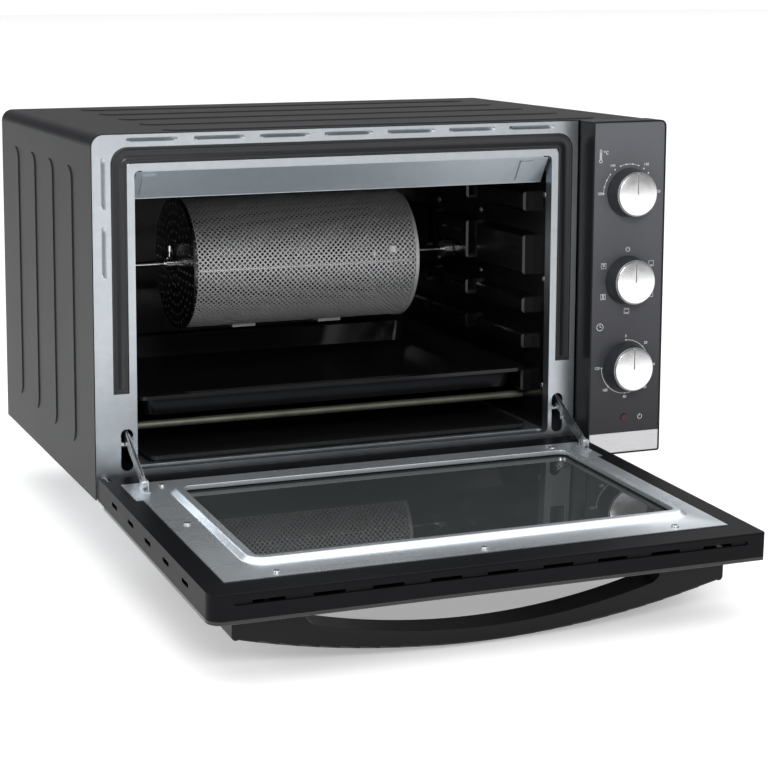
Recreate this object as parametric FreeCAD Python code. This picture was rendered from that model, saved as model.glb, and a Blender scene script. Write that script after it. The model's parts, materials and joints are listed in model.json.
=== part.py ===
import FreeCAD, Part
import math
import os

from FreeCAD import Matrix, Vector

# Countertop rotisserie oven, in millimetres.
# X runs to the right, Y to the back, Z up.  The origin lies on the table, under the middle of the
# cabinet's footprint.  The door is drawn shut and then turned about its pivot to its open stop.

# ---- cabinet ----
CABINET_WIDTH = 590.0
CABINET_DEPTH = 390.0
CABINET_HEIGHT = 345.0
FOOT_HEIGHT = 66.0
CORNER_RADIUS = 12.0
PANEL_CORNER = 6.5
SHEET = 0.8
FIT = 0.3              # gap between neighbouring sheets and covers
RIB_HEIGHT = 1.2
RIB_WIDTH = 30.0

# ---- control panel ----
PANEL_WIDTH = 82.8
PANEL_DEPTH = 29.2
PANEL_FLOOR = 4.5      # panel's and door's lower edge above the cabinet's bottom
PANEL_WALL = 1.6
TRIM_HEIGHT = 22.2
KNOB_PITCH = 88.8
KNOB_TOP_DROP = 72.5   # from the cabinet's top down to the upper knob's axis
KNOB_RADIUS = 25.0
CAP_RADIUS = 21.5
KNOB_LENGTH = 18.1
SHAFT_RADIUS = 3.0
RUNNING = 0.05         # radial clearance of a shaft that turns in a hole
LAMP_RADIUS = 4.0

# ---- front frame, its aperture and the cavity behind it ----
FRAME_SHEET = 2.6
APERTURE_LEFT = 41.5
APERTURE_WIDTH = 435.0
APERTURE_FLOOR = 26.3
APERTURE_HEIGHT = 283.7
APERTURE_RADIUS = 5.0
FLANGE_DEPTH = 12.0
SEAL_WIDTH = 15.6
SEAL_STANDOFF = 7.3    # bare lip between the aperture and the seal
SEAL_FOOT = 100.0      # height of the seal's lower ends
SEAL_PROUD = 1.5
CAVITY_DEPTH = 352.0
CAVITY_EASE = 1.5      # cavity walls stand this far outside the aperture
PAD_DEPTH = 11.5
PAD_CHAMFER = 2.0
PAD_COLUMNS = [(40.0, 150.0), (173.0, 262.0), (280.0, 344.0)]
PAD_ROWS = [(62.0, 84.7), (107.0, 122.0), (144.0, 160.0), (184.0, 225.0), (250.0, 270.0)]
SPIT_HEIGHT = 189.0
SPIT_BACK = 216.0
SPIT_RADIUS = 3.0
HEATER_RADIUS = 3.75
HEATER_LOW = 54.0
HEATER_HIGH = 291.0
HEATER_FRONT = 62.0
HEATER_BACK = 292.0

# ---- rotisserie drum ----
DRUM_RADIUS = 69.8
DRUM_LENGTH = 252.5
DRUM_LEFT = 145.5      # from the cabinet's left side
DRUM_SHEET = 1.0
RIM_WIDTH = 4.0
SOCKET_RADIUS = 9.0
DRIVE_RADIUS = 5.0

# ---- trays ----
TRAY_RIM_HEIGHT = 88.5
TRAY_FRONT = 31.0
TRAY_LENGTH = 312.0
TRAY_DEPTH = 22.0
TRAY_FLANGE = 10.5
TRAY_OVERLAP = 4.5     # how far the rim reaches over the rack pads
CRUMB_LENGTH = 322.0
CRUMB_RIM = 6.0

# ---- door ----
DOOR_GAP = 2.2         # between the front frame and the shut door
DOOR_THICKNESS = 25.5
DOOR_HEIGHT = 339.5
DOOR_SIDE = 1.3        # door's left edge in from the cabinet's side
PANEL_GAP = 2.2        # between the door and the control panel
DOOR_SKIN = 3.3        # outer glass and trim
DOOR_WALL = 2.2
DOOR_CORNER = 12.0
PIVOT_DEPTH = 8.55     # pivot axis behind the door's inner face
PIVOT_HEIGHT = 9.75    # pivot axis above the door's lower edge
DOOR_OPEN_ANGLE = 91.87
WINDOW_MARGIN = 6.0    # frame opening beyond the raised ring
PLATE_BORDER = 20.5
PLATE_FOOT = 33.0
PLATE_TOP_BORDER = 26.2
RING_LEFT = 48.7
RING_RIGHT = 35.0
RING_FOOT = 57.0
RING_TOP = 286.0
RING_SLOPE = 7.0
RING_LAND = 6.0
RING_HEIGHT = 5.0
GLASS_THICKNESS = 4.0

# ---- door handle ----
HANDLE_LENGTH = 452.0
HANDLE_FOOT = 290.0    # lower face of the bar, above the door's lower edge
HANDLE_BAND = 27.0
HANDLE_END = 22.5
HANDLE_BOW = 50.5
FINGER_GAP_LENGTH = 320.0
FINGER_GAP_DEPTH = 37.0
FINGER_GAP_END = 17.0

# ---- hinge arms ----
ARM_INSET = 31.2       # arm from the door's nearer cabinet-side reference
ARM_LENGTH = 78.0
ARM_HEIGHT = 8.0
ARM_WIDTH = 3.4
ARM_PIN_HEIGHT = 55.0
ARM_PIN_PROUD = 5.8
ARM_PIN_RADIUS = 2.0
ARM_SLOT_HEIGHT = 58.0
HINGE_SLOT_WIDTH = 12.5
HINGE_SLOT_LOW = 25.7
HINGE_SLOT_HIGH = 66.2

# ---- worked out from the above ----
LEFT = -CABINET_WIDTH / 2
RIGHT = CABINET_WIDTH / 2
FRONT = -CABINET_DEPTH / 2
BACK = CABINET_DEPTH / 2
BASE = FOOT_HEIGHT
TOP = BASE + CABINET_HEIGHT
PANEL_LEFT = RIGHT - 0.2 - PANEL_WIDTH
PANEL_RIGHT = RIGHT - 0.2
PANEL_MIDDLE = (PANEL_LEFT + PANEL_RIGHT) / 2
PANEL_FACE = FRONT - PANEL_DEPTH
FRAME_RIGHT = PANEL_LEFT - 1.5
OPEN_LEFT = LEFT + APERTURE_LEFT
OPEN_RIGHT = OPEN_LEFT + APERTURE_WIDTH
OPEN_LOW = BASE + APERTURE_FLOOR
OPEN_HIGH = OPEN_LOW + APERTURE_HEIGHT
WALL_LEFT = OPEN_LEFT - CAVITY_EASE
WALL_RIGHT = OPEN_RIGHT + CAVITY_EASE
CAVITY_BACK = FRONT + CAVITY_DEPTH
CAVITY_FLOOR = OPEN_LOW + 1.0
CAVITY_ROOF = OPEN_HIGH + 2.0
DOOR_LEFT = LEFT + DOOR_SIDE
DOOR_RIGHT = PANEL_LEFT - PANEL_GAP
DOOR_MIDDLE = (DOOR_LEFT + DOOR_RIGHT) / 2
DOOR_LOW = BASE + PANEL_FLOOR
PIVOT = Vector(0, FRONT - DOOR_GAP - PIVOT_DEPTH, DOOR_LOW + PIVOT_HEIGHT)
SPIT_Y = FRONT + SPIT_BACK
SPIT_Z = BASE + SPIT_HEIGHT
SHIELD_X = WALL_RIGHT + 16.0
ARM_X = [LEFT + ARM_INSET, OPEN_RIGHT + OPEN_LEFT - LEFT - ARM_INSET]
KNOB_Z = [TOP - KNOB_TOP_DROP - n * KNOB_PITCH for n in range(3)]
X_AXIS = Vector(1, 0, 0)


# ---- helpers ----
def box(x0, x1, y0, y1, z0, z1):
    return Part.makeBox(x1 - x0, y1 - y0, z1 - z0, Vector(x0, y0, z0))


def rod_x(x0, x1, y, z, radius):
    return Part.makeCylinder(radius, x1 - x0, Vector(x0, y, z), Vector(1, 0, 0))


def rod_y(y0, y1, x, z, radius):
    return Part.makeCylinder(radius, y1 - y0, Vector(x, y0, z), Vector(0, 1, 0))


def rod_z(z0, z1, x, y, radius):
    return Part.makeCylinder(radius, z1 - z0, Vector(x, y, z0), Vector(0, 0, 1))


def outline_wire(u0, u1, v0, v1, radii=0.0, height=0.0):
    """Rectangle with rounded corners: lower left, lower right, upper right, upper left."""
    if not isinstance(radii, (list, tuple)):
        radii = [radii] * 4
    corners = [(u0, v0), (u1, v0), (u1, v1), (u0, v1)]
    ways = [(1, 0), (0, 1), (-1, 0), (0, -1)]
    edges = []
    for n in range(4):
        u, v = corners[n]
        r = radii[n]
        ahead, back = ways[n], ways[n - 1]
        start = Vector(u - back[0] * r, v - back[1] * r, height)
        end = Vector(u + ahead[0] * r, v + ahead[1] * r, height)
        if r > 0:
            centre = start + Vector(ahead[0] * r, ahead[1] * r, 0)
            outward = Vector(u, v, height) - centre
            middle = centre + outward * (r / outward.Length)
            edges.append(Part.Arc(start, middle, end).toShape())
        u2, v2 = corners[(n + 1) % 4]
        r2 = radii[(n + 1) % 4]
        following = Vector(u2 - ahead[0] * r2, v2 - ahead[1] * r2, height)
        if (following - end).Length > 1e-6:
            edges.append(Part.LineSegment(end, following).toShape())
    return Part.Wire(edges)


def panel_x(x0, x1, y0, y1, z0, z1, radii=0.0):
    face = Part.Face(outline_wire(y0, y1, z0, z1, radii))
    solid = face.extrude(Vector(0, 0, x1 - x0))
    solid.Placement = FreeCAD.Placement(Matrix(0, 0, 1, x0, 1, 0, 0, 0, 0, 1, 0, 0, 0, 0, 0, 1))
    return solid


def panel_y(x0, x1, y0, y1, z0, z1, radii=0.0):
    face = Part.Face(outline_wire(x0, x1, z0, z1, radii))
    solid = face.extrude(Vector(0, 0, y1 - y0))
    solid.rotate(Vector(0, 0, 0), X_AXIS, 90)
    solid.translate(Vector(0, y1, 0))
    return solid


def panel_z(x0, x1, y0, y1, z0, z1, radii=0.0):
    face = Part.Face(outline_wire(x0, x1, y0, y1, radii))
    solid = face.extrude(Vector(0, 0, z1 - z0))
    solid.translate(Vector(0, 0, z0))
    return solid


def fuse(shapes):
    return shapes[0].multiFuse(shapes[1:]).removeSplitter()


def mirrored(shape, x):
    return shape.mirror(Vector(x, 0, 0), X_AXIS)


def soften(shape, radius, chosen):
    edges = [edge for edge in shape.Edges if chosen(edge)]
    return shape.makeFillet(radius, edges)


def bevel(shape, size, chosen):
    edges = [edge for edge in shape.Edges if chosen(edge)]
    return shape.makeChamfer(size, edges)


def lies_on(edge, axis, value):
    """True for an edge whose whole length is on the plane axis = value."""
    bounds = edge.BoundBox
    low = {"x": bounds.XMin, "y": bounds.YMin, "z": bounds.ZMin}[axis]
    high = {"x": bounds.XMax, "y": bounds.YMax, "z": bounds.ZMax}[axis]
    return abs(low - value) < 1e-4 and abs(high - value) < 1e-4


# ---- cabinet shell ----
def outer_shell():
    r = CORNER_RADIUS
    skin = panel_y(LEFT, RIGHT, FRONT, BACK, BASE, TOP, [0, 0, r, r])
    inside = panel_y(LEFT + SHEET, RIGHT - SHEET, FRONT, BACK, BASE - 1, TOP - SHEET,
                     [0, 0, r - SHEET, r - SHEET])
    ribs = []
    side_pitch = CABINET_DEPTH / 5
    for n in range(4):
        y = FRONT + side_pitch * (n + 1) + 8
        low, high = BASE + 38, TOP - 35
        rib = panel_x(LEFT - RIB_HEIGHT, LEFT + 0.2, y - RIB_WIDTH / 2, y + RIB_WIDTH / 2,
                      low, high, RIB_WIDTH / 2 - 0.01)
        rib = bevel(rib, RIB_HEIGHT - 0.1, lambda edge: lies_on(edge, "x", LEFT - RIB_HEIGHT))
        ribs += [rib, mirrored(rib, 0)]
    for n in range(5):
        y = FRONT + 27 + n * (CABINET_DEPTH / 5)
        rib = panel_z(LEFT + 77, RIGHT - 53, y - RIB_WIDTH / 2, y + RIB_WIDTH / 2,
                      TOP - 0.2, TOP + RIB_HEIGHT, RIB_WIDTH / 2 - 0.01)
        ribs.append(bevel(rib, RIB_HEIGHT - 0.1, lambda edge: lies_on(edge, "z", TOP + RIB_HEIGHT)))
    return fuse([skin.cut(inside)] + ribs)


def front_frame():
    inset = SHEET + 0.1
    r = CORNER_RADIUS - inset
    back = FRONT + FRAME_SHEET
    sheet = panel_y(LEFT + inset, FRAME_RIGHT, FRONT, back, BASE + 1.5, TOP - inset, [0, 0, 0, r])
    flange = panel_y(OPEN_LEFT - 1, OPEN_RIGHT + 1, FRONT, FRONT + FLANGE_DEPTH,
                     OPEN_LOW - 1, OPEN_HIGH + 1, APERTURE_RADIUS + 1)
    aperture = panel_y(OPEN_LEFT, OPEN_RIGHT, FRONT - 1, FRONT + FLANGE_DEPTH + 1,
                       OPEN_LOW, OPEN_HIGH, APERTURE_RADIUS)
    cuts = [aperture, seal_band(FRONT - 1, FRONT + FRAME_SHEET - SHEET)]
    for n in range(7):
        x = LEFT + 59 + n * 65.7
        cuts.append(panel_y(x - 25, x + 25, FRONT - 1, back + 1, TOP - 7.9, TOP - 4.1, 1.89))
    for n in range(8):
        x = OPEN_LEFT + 27 + n * 54.4
        cuts.append(panel_y(x - 14, x + 14, FRONT - 1, back + 1, BASE + 9.5, BASE + 18.5, 1))
    for low in (209.5, 273.5):
        cuts.append(panel_y(LEFT + 9.1, LEFT + 13.7, FRONT - 1, back + 1,
                            BASE + low, BASE + low + 49.5, 2.29))
    for x in ARM_X:
        half = HINGE_SLOT_WIDTH / 2
        cuts.append(panel_y(x - half, x + half, FRONT - 1, back + 1, BASE + HINGE_SLOT_LOW,
                            BASE + HINGE_SLOT_HIGH, half - 0.01))
        cuts.append(box(x - 4.5, x + 1.1, FRONT - 1, back + 1, BASE + 13, BASE + 18.6))
    return fuse([sheet, flange]).cut(cuts)


def seal_band(y0, y1):
    """Inverted U around the sides and top of the aperture."""
    inner_left, inner_right = OPEN_LEFT - SEAL_STANDOFF, OPEN_RIGHT + SEAL_STANDOFF
    inner_top = OPEN_HIGH + SEAL_STANDOFF - 0.5
    w = SEAL_WIDTH
    outer = panel_y(inner_left - w, inner_right + w, y0, y1, BASE + SEAL_FOOT, inner_top + w,
                    [0, 0, 16, 16])
    inner = panel_y(inner_left, inner_right, y0 - 1, y1 + 1, BASE + SEAL_FOOT - 1, inner_top,
                    [0, 0, 6, 6])
    return outer.cut(inner)


def door_seal():
    seal = seal_band(FRONT - SEAL_PROUD, FRONT + FRAME_SHEET - SHEET)
    return soften(seal, 1.2, lambda edge: lies_on(edge, "y", FRONT - SEAL_PROUD))


def base_plate():
    plate = box(LEFT + 1, RIGHT - 1, FRONT + FRAME_SHEET + 0.2, BACK - SHEET - 0.2, BASE, BASE + SHEET)
    cuts = [rod_z(BASE - 1, BASE + 2, x, y, 2.6) for x, y in foot_places()]
    for row in range(3):
        for n in range(8):
            x = LEFT + 130 + n * 42
            y = FRONT + 120 + row * 70
            cuts.append(panel_z(x, x + 26, y, y + 5, BASE - 1, BASE + 2, 2.49))
    return plate.cut(cuts)


def foot_places():
    x, y = CABINET_WIDTH / 2 - 90, CABINET_DEPTH / 2 - 62
    return [(sx * x, sy * y) for sx in (-1, 1) for sy in (-1, 1)]


def feet():
    solids = []
    for x, y in foot_places():
        leg = Part.makeCone(16, 21, FOOT_HEIGHT - 4 - FIT, Vector(x, y, 4))
        collar = rod_z(BASE - 5, BASE - FIT, x, y, 24)
        bore = rod_z(BASE - 20, BASE, x, y, 2.2)
        solids.append(fuse([leg, collar]).cut(bore))
    return Part.makeCompound(solids)


def foot_pads():
    pads = []
    for x, y in foot_places():
        pad = rod_z(0, 4, x, y, 16.5)
        pads.append(bevel(pad, 1, lambda edge: lies_on(edge, "z", 0)))
    return Part.makeCompound(pads)


def foot_screws():
    screws = []
    for x, y in foot_places():
        screws.append(fuse([rod_z(BASE - 18, BASE + SHEET + 1, x, y, 2.2),
                            rod_z(BASE + SHEET, BASE + SHEET + 2.6, x, y, 4.2)]))
    return Part.makeCompound(screws)


def gland_place():
    return RIGHT - 62, BASE + 42


def rear_screw_places():
    places = []
    for x in (LEFT + 14, 0, RIGHT - 14):
        places += [(x, BASE + 12), (x, TOP - 14)]
    return places


def rear_cover():
    inset = SHEET + 0.1
    plate = panel_y(LEFT + inset, RIGHT - inset, BACK - SHEET, BACK, BASE + inset, TOP - inset,
                    [0, 0, CORNER_RADIUS - inset, CORNER_RADIUS - inset])
    gx, gz = gland_place()
    cuts = [rod_y(BACK - 2, BACK + 1, gx, gz, 7)]
    cuts += [rod_y(BACK - 2, BACK + 1, x, z, 2.3) for x, z in rear_screw_places()]
    for column in range(5):
        for n in range(9):
            x = RIGHT - 108 + column * 19
            z = TOP - 160 + n * 13
            cuts.append(panel_y(x, x + 14, BACK - 2, BACK + 1, z, z + 4, 1.99))
    for n in range(14):
        x = LEFT + 60 + n * 28
        cuts.append(panel_y(x, x + 18, BACK - 2, BACK + 1, TOP - 52, TOP - 48, 1.99))
        cuts.append(panel_y(x, x + 18, BACK - 2, BACK + 1, BASE + 44, BASE + 48, 1.99))
    return plate.cut(cuts)


def rear_screws():
    screws = []
    for x, z in rear_screw_places():
        head = rod_y(BACK, BACK + 2, x, z, 4)
        head = soften(head, 1.2, lambda edge: lies_on(edge, "y", BACK + 2))
        screws.append(fuse([head, rod_y(BACK - 8, BACK, x, z, 2)]))
    return Part.makeCompound(screws)


def cable_gland():
    x, z = gland_place()
    gland = fuse([rod_y(BACK - 6, BACK + 1, x, z, 6.9), rod_y(BACK, BACK + 4, x, z, 10),
                  rod_y(BACK - 5, BACK - SHEET, x, z, 9)])
    return gland.cut(rod_y(BACK - 7, BACK + 5, x, z, 3.8))


# ---- cavity ----
def rack_pad(y0, y1, z0, z1, depth, grow):
    """One pressed pad on the left wall; grow makes it smaller for the hollow behind it."""
    pad = box(WALL_LEFT - SHEET - 1 - grow, WALL_LEFT + depth + grow, FRONT + y0 - grow,
              FRONT + y1 + grow, BASE + z0 - grow, BASE + z1 + grow)
    return bevel(pad, PAD_CHAMFER, lambda edge: lies_on(edge, "x", WALL_LEFT + depth + grow))


def side_wall(spit_gap=0.0):
    """Left wall; spit_gap is the width kept free of pads around the spit."""
    wall = box(WALL_LEFT - SHEET, WALL_LEFT, FRONT + FRAME_SHEET + FIT, CAVITY_BACK,
               CAVITY_FLOOR - SHEET, CAVITY_ROOF)
    keep = box(WALL_LEFT - SHEET, WALL_LEFT + 40, FRONT, BACK, BASE, TOP)
    pads, hollows = [], []
    for y0, y1 in PAD_COLUMNS:
        for z0, z1 in PAD_ROWS:
            spans = [(y0, y1)]
            if spit_gap and y0 < SPIT_BACK < y1 and z0 < SPIT_HEIGHT < z1:
                spans = [(y0, SPIT_BACK - spit_gap / 2), (SPIT_BACK + spit_gap / 2, y1)]
            for start, end in spans:
                pads.append(rack_pad(start, end, z0, z1, PAD_DEPTH, 0).common(keep))
                hollows.append(rack_pad(start, end, z0, z1, PAD_DEPTH, -SHEET))
    return fuse([wall] + pads).cut(hollows)


def cavity_left_wall():
    return side_wall(26.0)


def cavity_right_wall():
    middle = (WALL_LEFT + WALL_RIGHT) / 2
    wall = mirrored(side_wall(), middle)
    cuts = [rod_x(WALL_RIGHT - 20, WALL_RIGHT + 2, SPIT_Y, SPIT_Z, DRIVE_RADIUS + 1.5)]
    y0, y1 = PAD_COLUMNS[1]
    for z0, z1 in PAD_ROWS[1:4]:
        for part in (0.3, 0.7):
            z = BASE + z0 + (z1 - z0) * part
            for half in (0, 1):
                start = FRONT + y0 + 12 + half * (y1 - y0) * 0.44
                cuts.append(panel_x(WALL_RIGHT - 20, WALL_RIGHT - 5, start, start + 26,
                                    z - 1.3, z + 1.3, 1.29))
    relief = rod_x(WALL_RIGHT - PAD_DEPTH - 2, WALL_RIGHT - SHEET, SPIT_Y, SPIT_Z, SOCKET_RADIUS + 4)
    ring = rod_x(WALL_RIGHT - PAD_DEPTH, WALL_RIGHT, SPIT_Y, SPIT_Z, SOCKET_RADIUS + 4 + SHEET)
    floor = rod_x(WALL_RIGHT - SHEET, WALL_RIGHT, SPIT_Y, SPIT_Z, SOCKET_RADIUS + 5)
    inside = box(WALL_RIGHT - PAD_DEPTH, WALL_RIGHT, FRONT, BACK, BASE, TOP)
    well = ring.common(inside)
    return fuse([wall.cut(relief), well.cut(relief), floor]).cut(cuts)


def cavity_back():
    return box(WALL_LEFT - SHEET, WALL_RIGHT + SHEET, CAVITY_BACK + 0.1, CAVITY_BACK + 0.1 + SHEET,
               CAVITY_FLOOR - SHEET, CAVITY_ROOF)


def cavity_roof():
    return box(WALL_LEFT - SHEET, WALL_RIGHT + SHEET, FRONT + FLANGE_DEPTH + 2,
               CAVITY_BACK + 0.1 + SHEET, CAVITY_ROOF + 0.1, CAVITY_ROOF + 0.1 + SHEET)


def cavity_floor():
    return box(WALL_LEFT + 0.1, WALL_RIGHT - 0.1, FRONT + FLANGE_DEPTH + 0.1, CAVITY_BACK,
               CAVITY_FLOOR - SHEET, CAVITY_FLOOR)


def heat_deflector():
    """Sheet that leans from the aperture's top edge down and back, with two upright ribs."""
    high = Vector(0, FRONT + 3.5, OPEN_HIGH - 1)
    low = Vector(0, FRONT + 20, OPEN_HIGH - 27.5)
    lean = low - high
    across = Vector(0, -lean.z, lean.y) * (SHEET / lean.Length)

    def strip(x0, x1, start, end, thickness):
        a = high + lean * start
        b = high + lean * end
        out = across * (thickness / SHEET)
        corners = [a, b, b - out, a - out, a]
        face = Part.Face(Part.makePolygon([Vector(x0, p.y, p.z) for p in corners]))
        return face.extrude(Vector(x1 - x0, 0, 0))

    x0, x1 = OPEN_LEFT + 2.5, OPEN_RIGHT - 2.5
    ribs = [strip(x, x + 14, 0.12, 0.88, 2.4) for x in (OPEN_LEFT + 9, OPEN_RIGHT - 33)]
    foot = box(x0, x1, low.y - SHEET, low.y + 6, low.z - SHEET, low.z)
    fold = box(OPEN_LEFT + 8, OPEN_RIGHT - 8, high.y - SHEET, high.y + 7, high.z - SHEET / 2, OPEN_HIGH)
    return fuse([strip(x0, x1, 0, 1, SHEET), foot, fold] + ribs)


def heater_pair(z):
    rods = [rod_x(WALL_LEFT - 5.5, WALL_RIGHT + 5.5, FRONT + y, z, HEATER_RADIUS)
            for y in (HEATER_FRONT, HEATER_BACK)]
    return Part.makeCompound(rods)


def heater_places():
    return [(FRONT + y, BASE + z) for y in (HEATER_FRONT, HEATER_BACK)
            for z in (HEATER_LOW, HEATER_HIGH)]


def heater_insulators():
    """Ceramic collars where the heaters pass the walls."""
    solids = []
    for y, z in heater_places():
        for wall, out in ((WALL_LEFT - SHEET, -1), (WALL_RIGHT + SHEET, 1)):
            x0, x1 = sorted((wall, wall + out * 4))
            solids.append(rod_x(x0, x1, y, z, 8).cut(rod_x(x0 - 1, x1 + 1, y, z, HEATER_RADIUS)))
    return Part.makeCompound(solids)


def heater_holes(grow=0.4):
    return [rod_x(WALL_LEFT - 5, WALL_RIGHT + 5, y, z, HEATER_RADIUS + grow)
            for y, z in heater_places()]


def cavity_rivets():
    solids = []
    places = [(16, 268.4), (16, 182.3), (16, 72), (161, 238), (268, 238), (268, 172), (161, 172)]
    for y, z in places:
        for face, way in ((WALL_LEFT, 1), (WALL_RIGHT, -1)):
            head = Part.makeCylinder(3, 1.4, Vector(face, FRONT + y, BASE + z), Vector(way, 0, 0))
            solids.append(soften(head, 1, lambda edge: lies_on(edge, "x", face + way * 1.4)))
    return Part.makeCompound(solids)


# ---- rotisserie ----
def drum_bounds():
    x0 = LEFT + DRUM_LEFT
    return x0, x0 + DRUM_LENGTH


def drum_basket():
    x0, x1 = drum_bounds()
    outer = DRUM_RADIUS - DRUM_SHEET
    tube = rod_x(x0 + 1.2, x1 - 1.2, SPIT_Y, SPIT_Z, outer)
    return tube.cut(rod_x(x0, x1, SPIT_Y, SPIT_Z, outer - DRUM_SHEET))


def drum_end(side):
    x0, x1 = drum_bounds()
    disc = rod_x(x0, x0 + 1.2, SPIT_Y, SPIT_Z, DRUM_RADIUS)
    rim = rod_x(x0, x0 + RIM_WIDTH, SPIT_Y, SPIT_Z, DRUM_RADIUS)
    rim = rim.cut(rod_x(x0 - 1, x0 + RIM_WIDTH + 1, SPIT_Y, SPIT_Z, DRUM_RADIUS - DRUM_SHEET))
    cuts = [rod_x(x0 - 1, x0 + 3, SPIT_Y, SPIT_Z, SPIT_RADIUS)]
    for ring, count in ((14, 9), (24, 15), (34, 21), (44, 27), (54, 33), (63.5, 39)):
        for n in range(count):
            angle = 2 * math.pi * n / count
            y, z = SPIT_Y + ring * math.cos(angle), SPIT_Z + ring * math.sin(angle)
            cuts.append(rod_x(x0 - 1, x0 + 3, y, z, 2.6))
    end = fuse([disc, rim]).cut(cuts)
    return end if side == "left" else mirrored(end, (x0 + x1) / 2)


def spit_collars():
    x0, x1 = drum_bounds()
    solids = []
    for start, end in ((x0 - 11.2, x0 - 0.2), (x1 + 0.2, x1 + 11.2)):
        collar = rod_x(start, end, SPIT_Y, SPIT_Z, 7.5)
        middle = (start + end) / 2
        cuts = [rod_x(start - 1, end + 1, SPIT_Y, SPIT_Z, SPIT_RADIUS),
                rod_z(SPIT_Z, SPIT_Z + 9, middle, SPIT_Y, 2)]
        solids.append(collar.cut(cuts))
    return Part.makeCompound(solids)


def thumb_screws():
    x0, x1 = drum_bounds()
    solids = []
    for middle in (x0 - 5.7, x1 + 5.7):
        stem = rod_z(SPIT_Z + SPIT_RADIUS, SPIT_Z + 13, middle, SPIT_Y, 2)
        head = rod_z(SPIT_Z + 12, SPIT_Z + 20, middle, SPIT_Y, 4.6)
        solids.append(fuse([stem, bevel(head, 0.8, lambda edge: edge.Curve.TypeId == "Part::GeomCircle")]))
    return Part.makeCompound(solids)


def drum_latches():
    """Two spring tabs under the basket that hold its lid."""
    x0, x1 = drum_bounds()
    solids = []
    for x in (x0 + 62, x1 - 92):
        tab = box(x, x + 26, SPIT_Y - 7, SPIT_Y + 7, SPIT_Z - DRUM_RADIUS - 2, SPIT_Z - DRUM_RADIUS + 1.0)
        body = rod_x(x0, x1, SPIT_Y, SPIT_Z, DRUM_RADIUS - DRUM_SHEET)
        solids.append(tab.cut(body))
    return Part.makeCompound(solids)


def spit_rod():
    rod = rod_x(WALL_LEFT + 6, WALL_RIGHT - 8, SPIT_Y, SPIT_Z, SPIT_RADIUS)
    return bevel(rod, 1.5, lambda edge: lies_on(edge, "x", WALL_LEFT + 6))


def drive_socket():
    sleeve = rod_x(WALL_RIGHT - 21, WALL_RIGHT - 3, SPIT_Y, SPIT_Z, SOCKET_RADIUS)
    shaft = rod_x(WALL_RIGHT - 4, SHIELD_X + 14, SPIT_Y, SPIT_Z, DRIVE_RADIUS)
    bore = rod_x(WALL_RIGHT - 22, WALL_RIGHT - 8, SPIT_Y, SPIT_Z, SPIT_RADIUS)
    return fuse([sleeve, shaft]).cut(bore)


def spit_support():
    """Bracket on the left wall with an open cradle for the spit."""
    x = WALL_LEFT + 10
    half = 11
    low = SPIT_Z - 16
    cheek = panel_x(x, x + 1.2, SPIT_Y - half, SPIT_Y + half, low, SPIT_Z + 4, [0, 0, 3, 3])
    web = box(WALL_LEFT + 1, x + 1.2, SPIT_Y - half, SPIT_Y + half, low, low + 1.2)
    flange = box(WALL_LEFT, WALL_LEFT + 1.2, SPIT_Y - half, SPIT_Y + half, low - 9, low + 1.2)
    notch = fuse([rod_x(x - 1, x + 3, SPIT_Y, SPIT_Z, SPIT_RADIUS + RUNNING),
                  box(x - 1, x + 3, SPIT_Y - SPIT_RADIUS - RUNNING, SPIT_Y + SPIT_RADIUS + RUNNING,
                      SPIT_Z, SPIT_Z + 10)])
    return fuse([cheek, web, flange]).cut(notch)


def rotisserie_motor():
    x = SHIELD_X + SHEET + FIT
    gearbox = rod_x(x, x + 20, SPIT_Y, SPIT_Z, 27)
    can = rod_x(x + 19, x + 42, SPIT_Y, SPIT_Z - 4, 20)
    ears = panel_x(x, x + 1.5, SPIT_Y - 38, SPIT_Y + 38, SPIT_Z - 8, SPIT_Z + 8, 7)
    return fuse([gearbox, can, ears]).cut(rod_x(x - 1, x + 15, SPIT_Y, SPIT_Z, DRIVE_RADIUS + RUNNING))


def heat_shield():
    shield = box(SHIELD_X, SHIELD_X + SHEET, FRONT + FRAME_SHEET + 1, BACK - 2, BASE + 2, TOP - 14)
    return shield.cut(rod_x(SHIELD_X - 1, SHIELD_X + 2, SPIT_Y, SPIT_Z, DRIVE_RADIUS + 1.5))


# ---- controls ----
def control_housing():
    r = PANEL_CORNER
    w = PANEL_WALL
    low = BASE + PANEL_FLOOR
    outer = panel_y(PANEL_LEFT, PANEL_RIGHT, PANEL_FACE, FRONT - 0.1, low, TOP, [2, 2.8, r, 2])
    inner = panel_y(PANEL_LEFT + w, PANEL_RIGHT - w, PANEL_FACE - 1, FRONT + 1, low + w, TOP - w,
                    [0.6, 2.8 - w, r - w, 0.6])
    ledge = panel_y(PANEL_LEFT + 0.5, PANEL_RIGHT - 0.5, PANEL_FACE + 3.2, PANEL_FACE + 4.6,
                    low + 0.5, TOP - 0.5, [2, 2.3, r - 1, 2])
    window = panel_y(PANEL_LEFT + w + 3, PANEL_RIGHT - w - 3, PANEL_FACE, FRONT, low + w + 3,
                     TOP - w - 3, 1)
    return fuse([outer.cut(inner), ledge.cut(window)])


def face_insert(z0, z1, radii):
    edge = PANEL_WALL + 0.15
    return panel_y(PANEL_LEFT + edge, PANEL_RIGHT - edge, PANEL_FACE + 0.4, PANEL_FACE + 3.0,
                   z0, z1, radii)


def control_fascia():
    r = PANEL_CORNER - PANEL_WALL
    low = BASE + PANEL_FLOOR + TRIM_HEIGHT
    fascia = face_insert(low, TOP - PANEL_WALL - 0.15, [0.5, 0.5, r, 0.6])
    cuts = [rod_y(PANEL_FACE - 1, PANEL_FACE + 4, PANEL_MIDDLE, z, SHAFT_RADIUS + 1.5) for z in KNOB_Z]
    cuts.append(rod_y(PANEL_FACE - 1, PANEL_FACE + 4, PANEL_MIDDLE, lamp_height(), LAMP_RADIUS))
    return fascia.cut(cuts)


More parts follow.
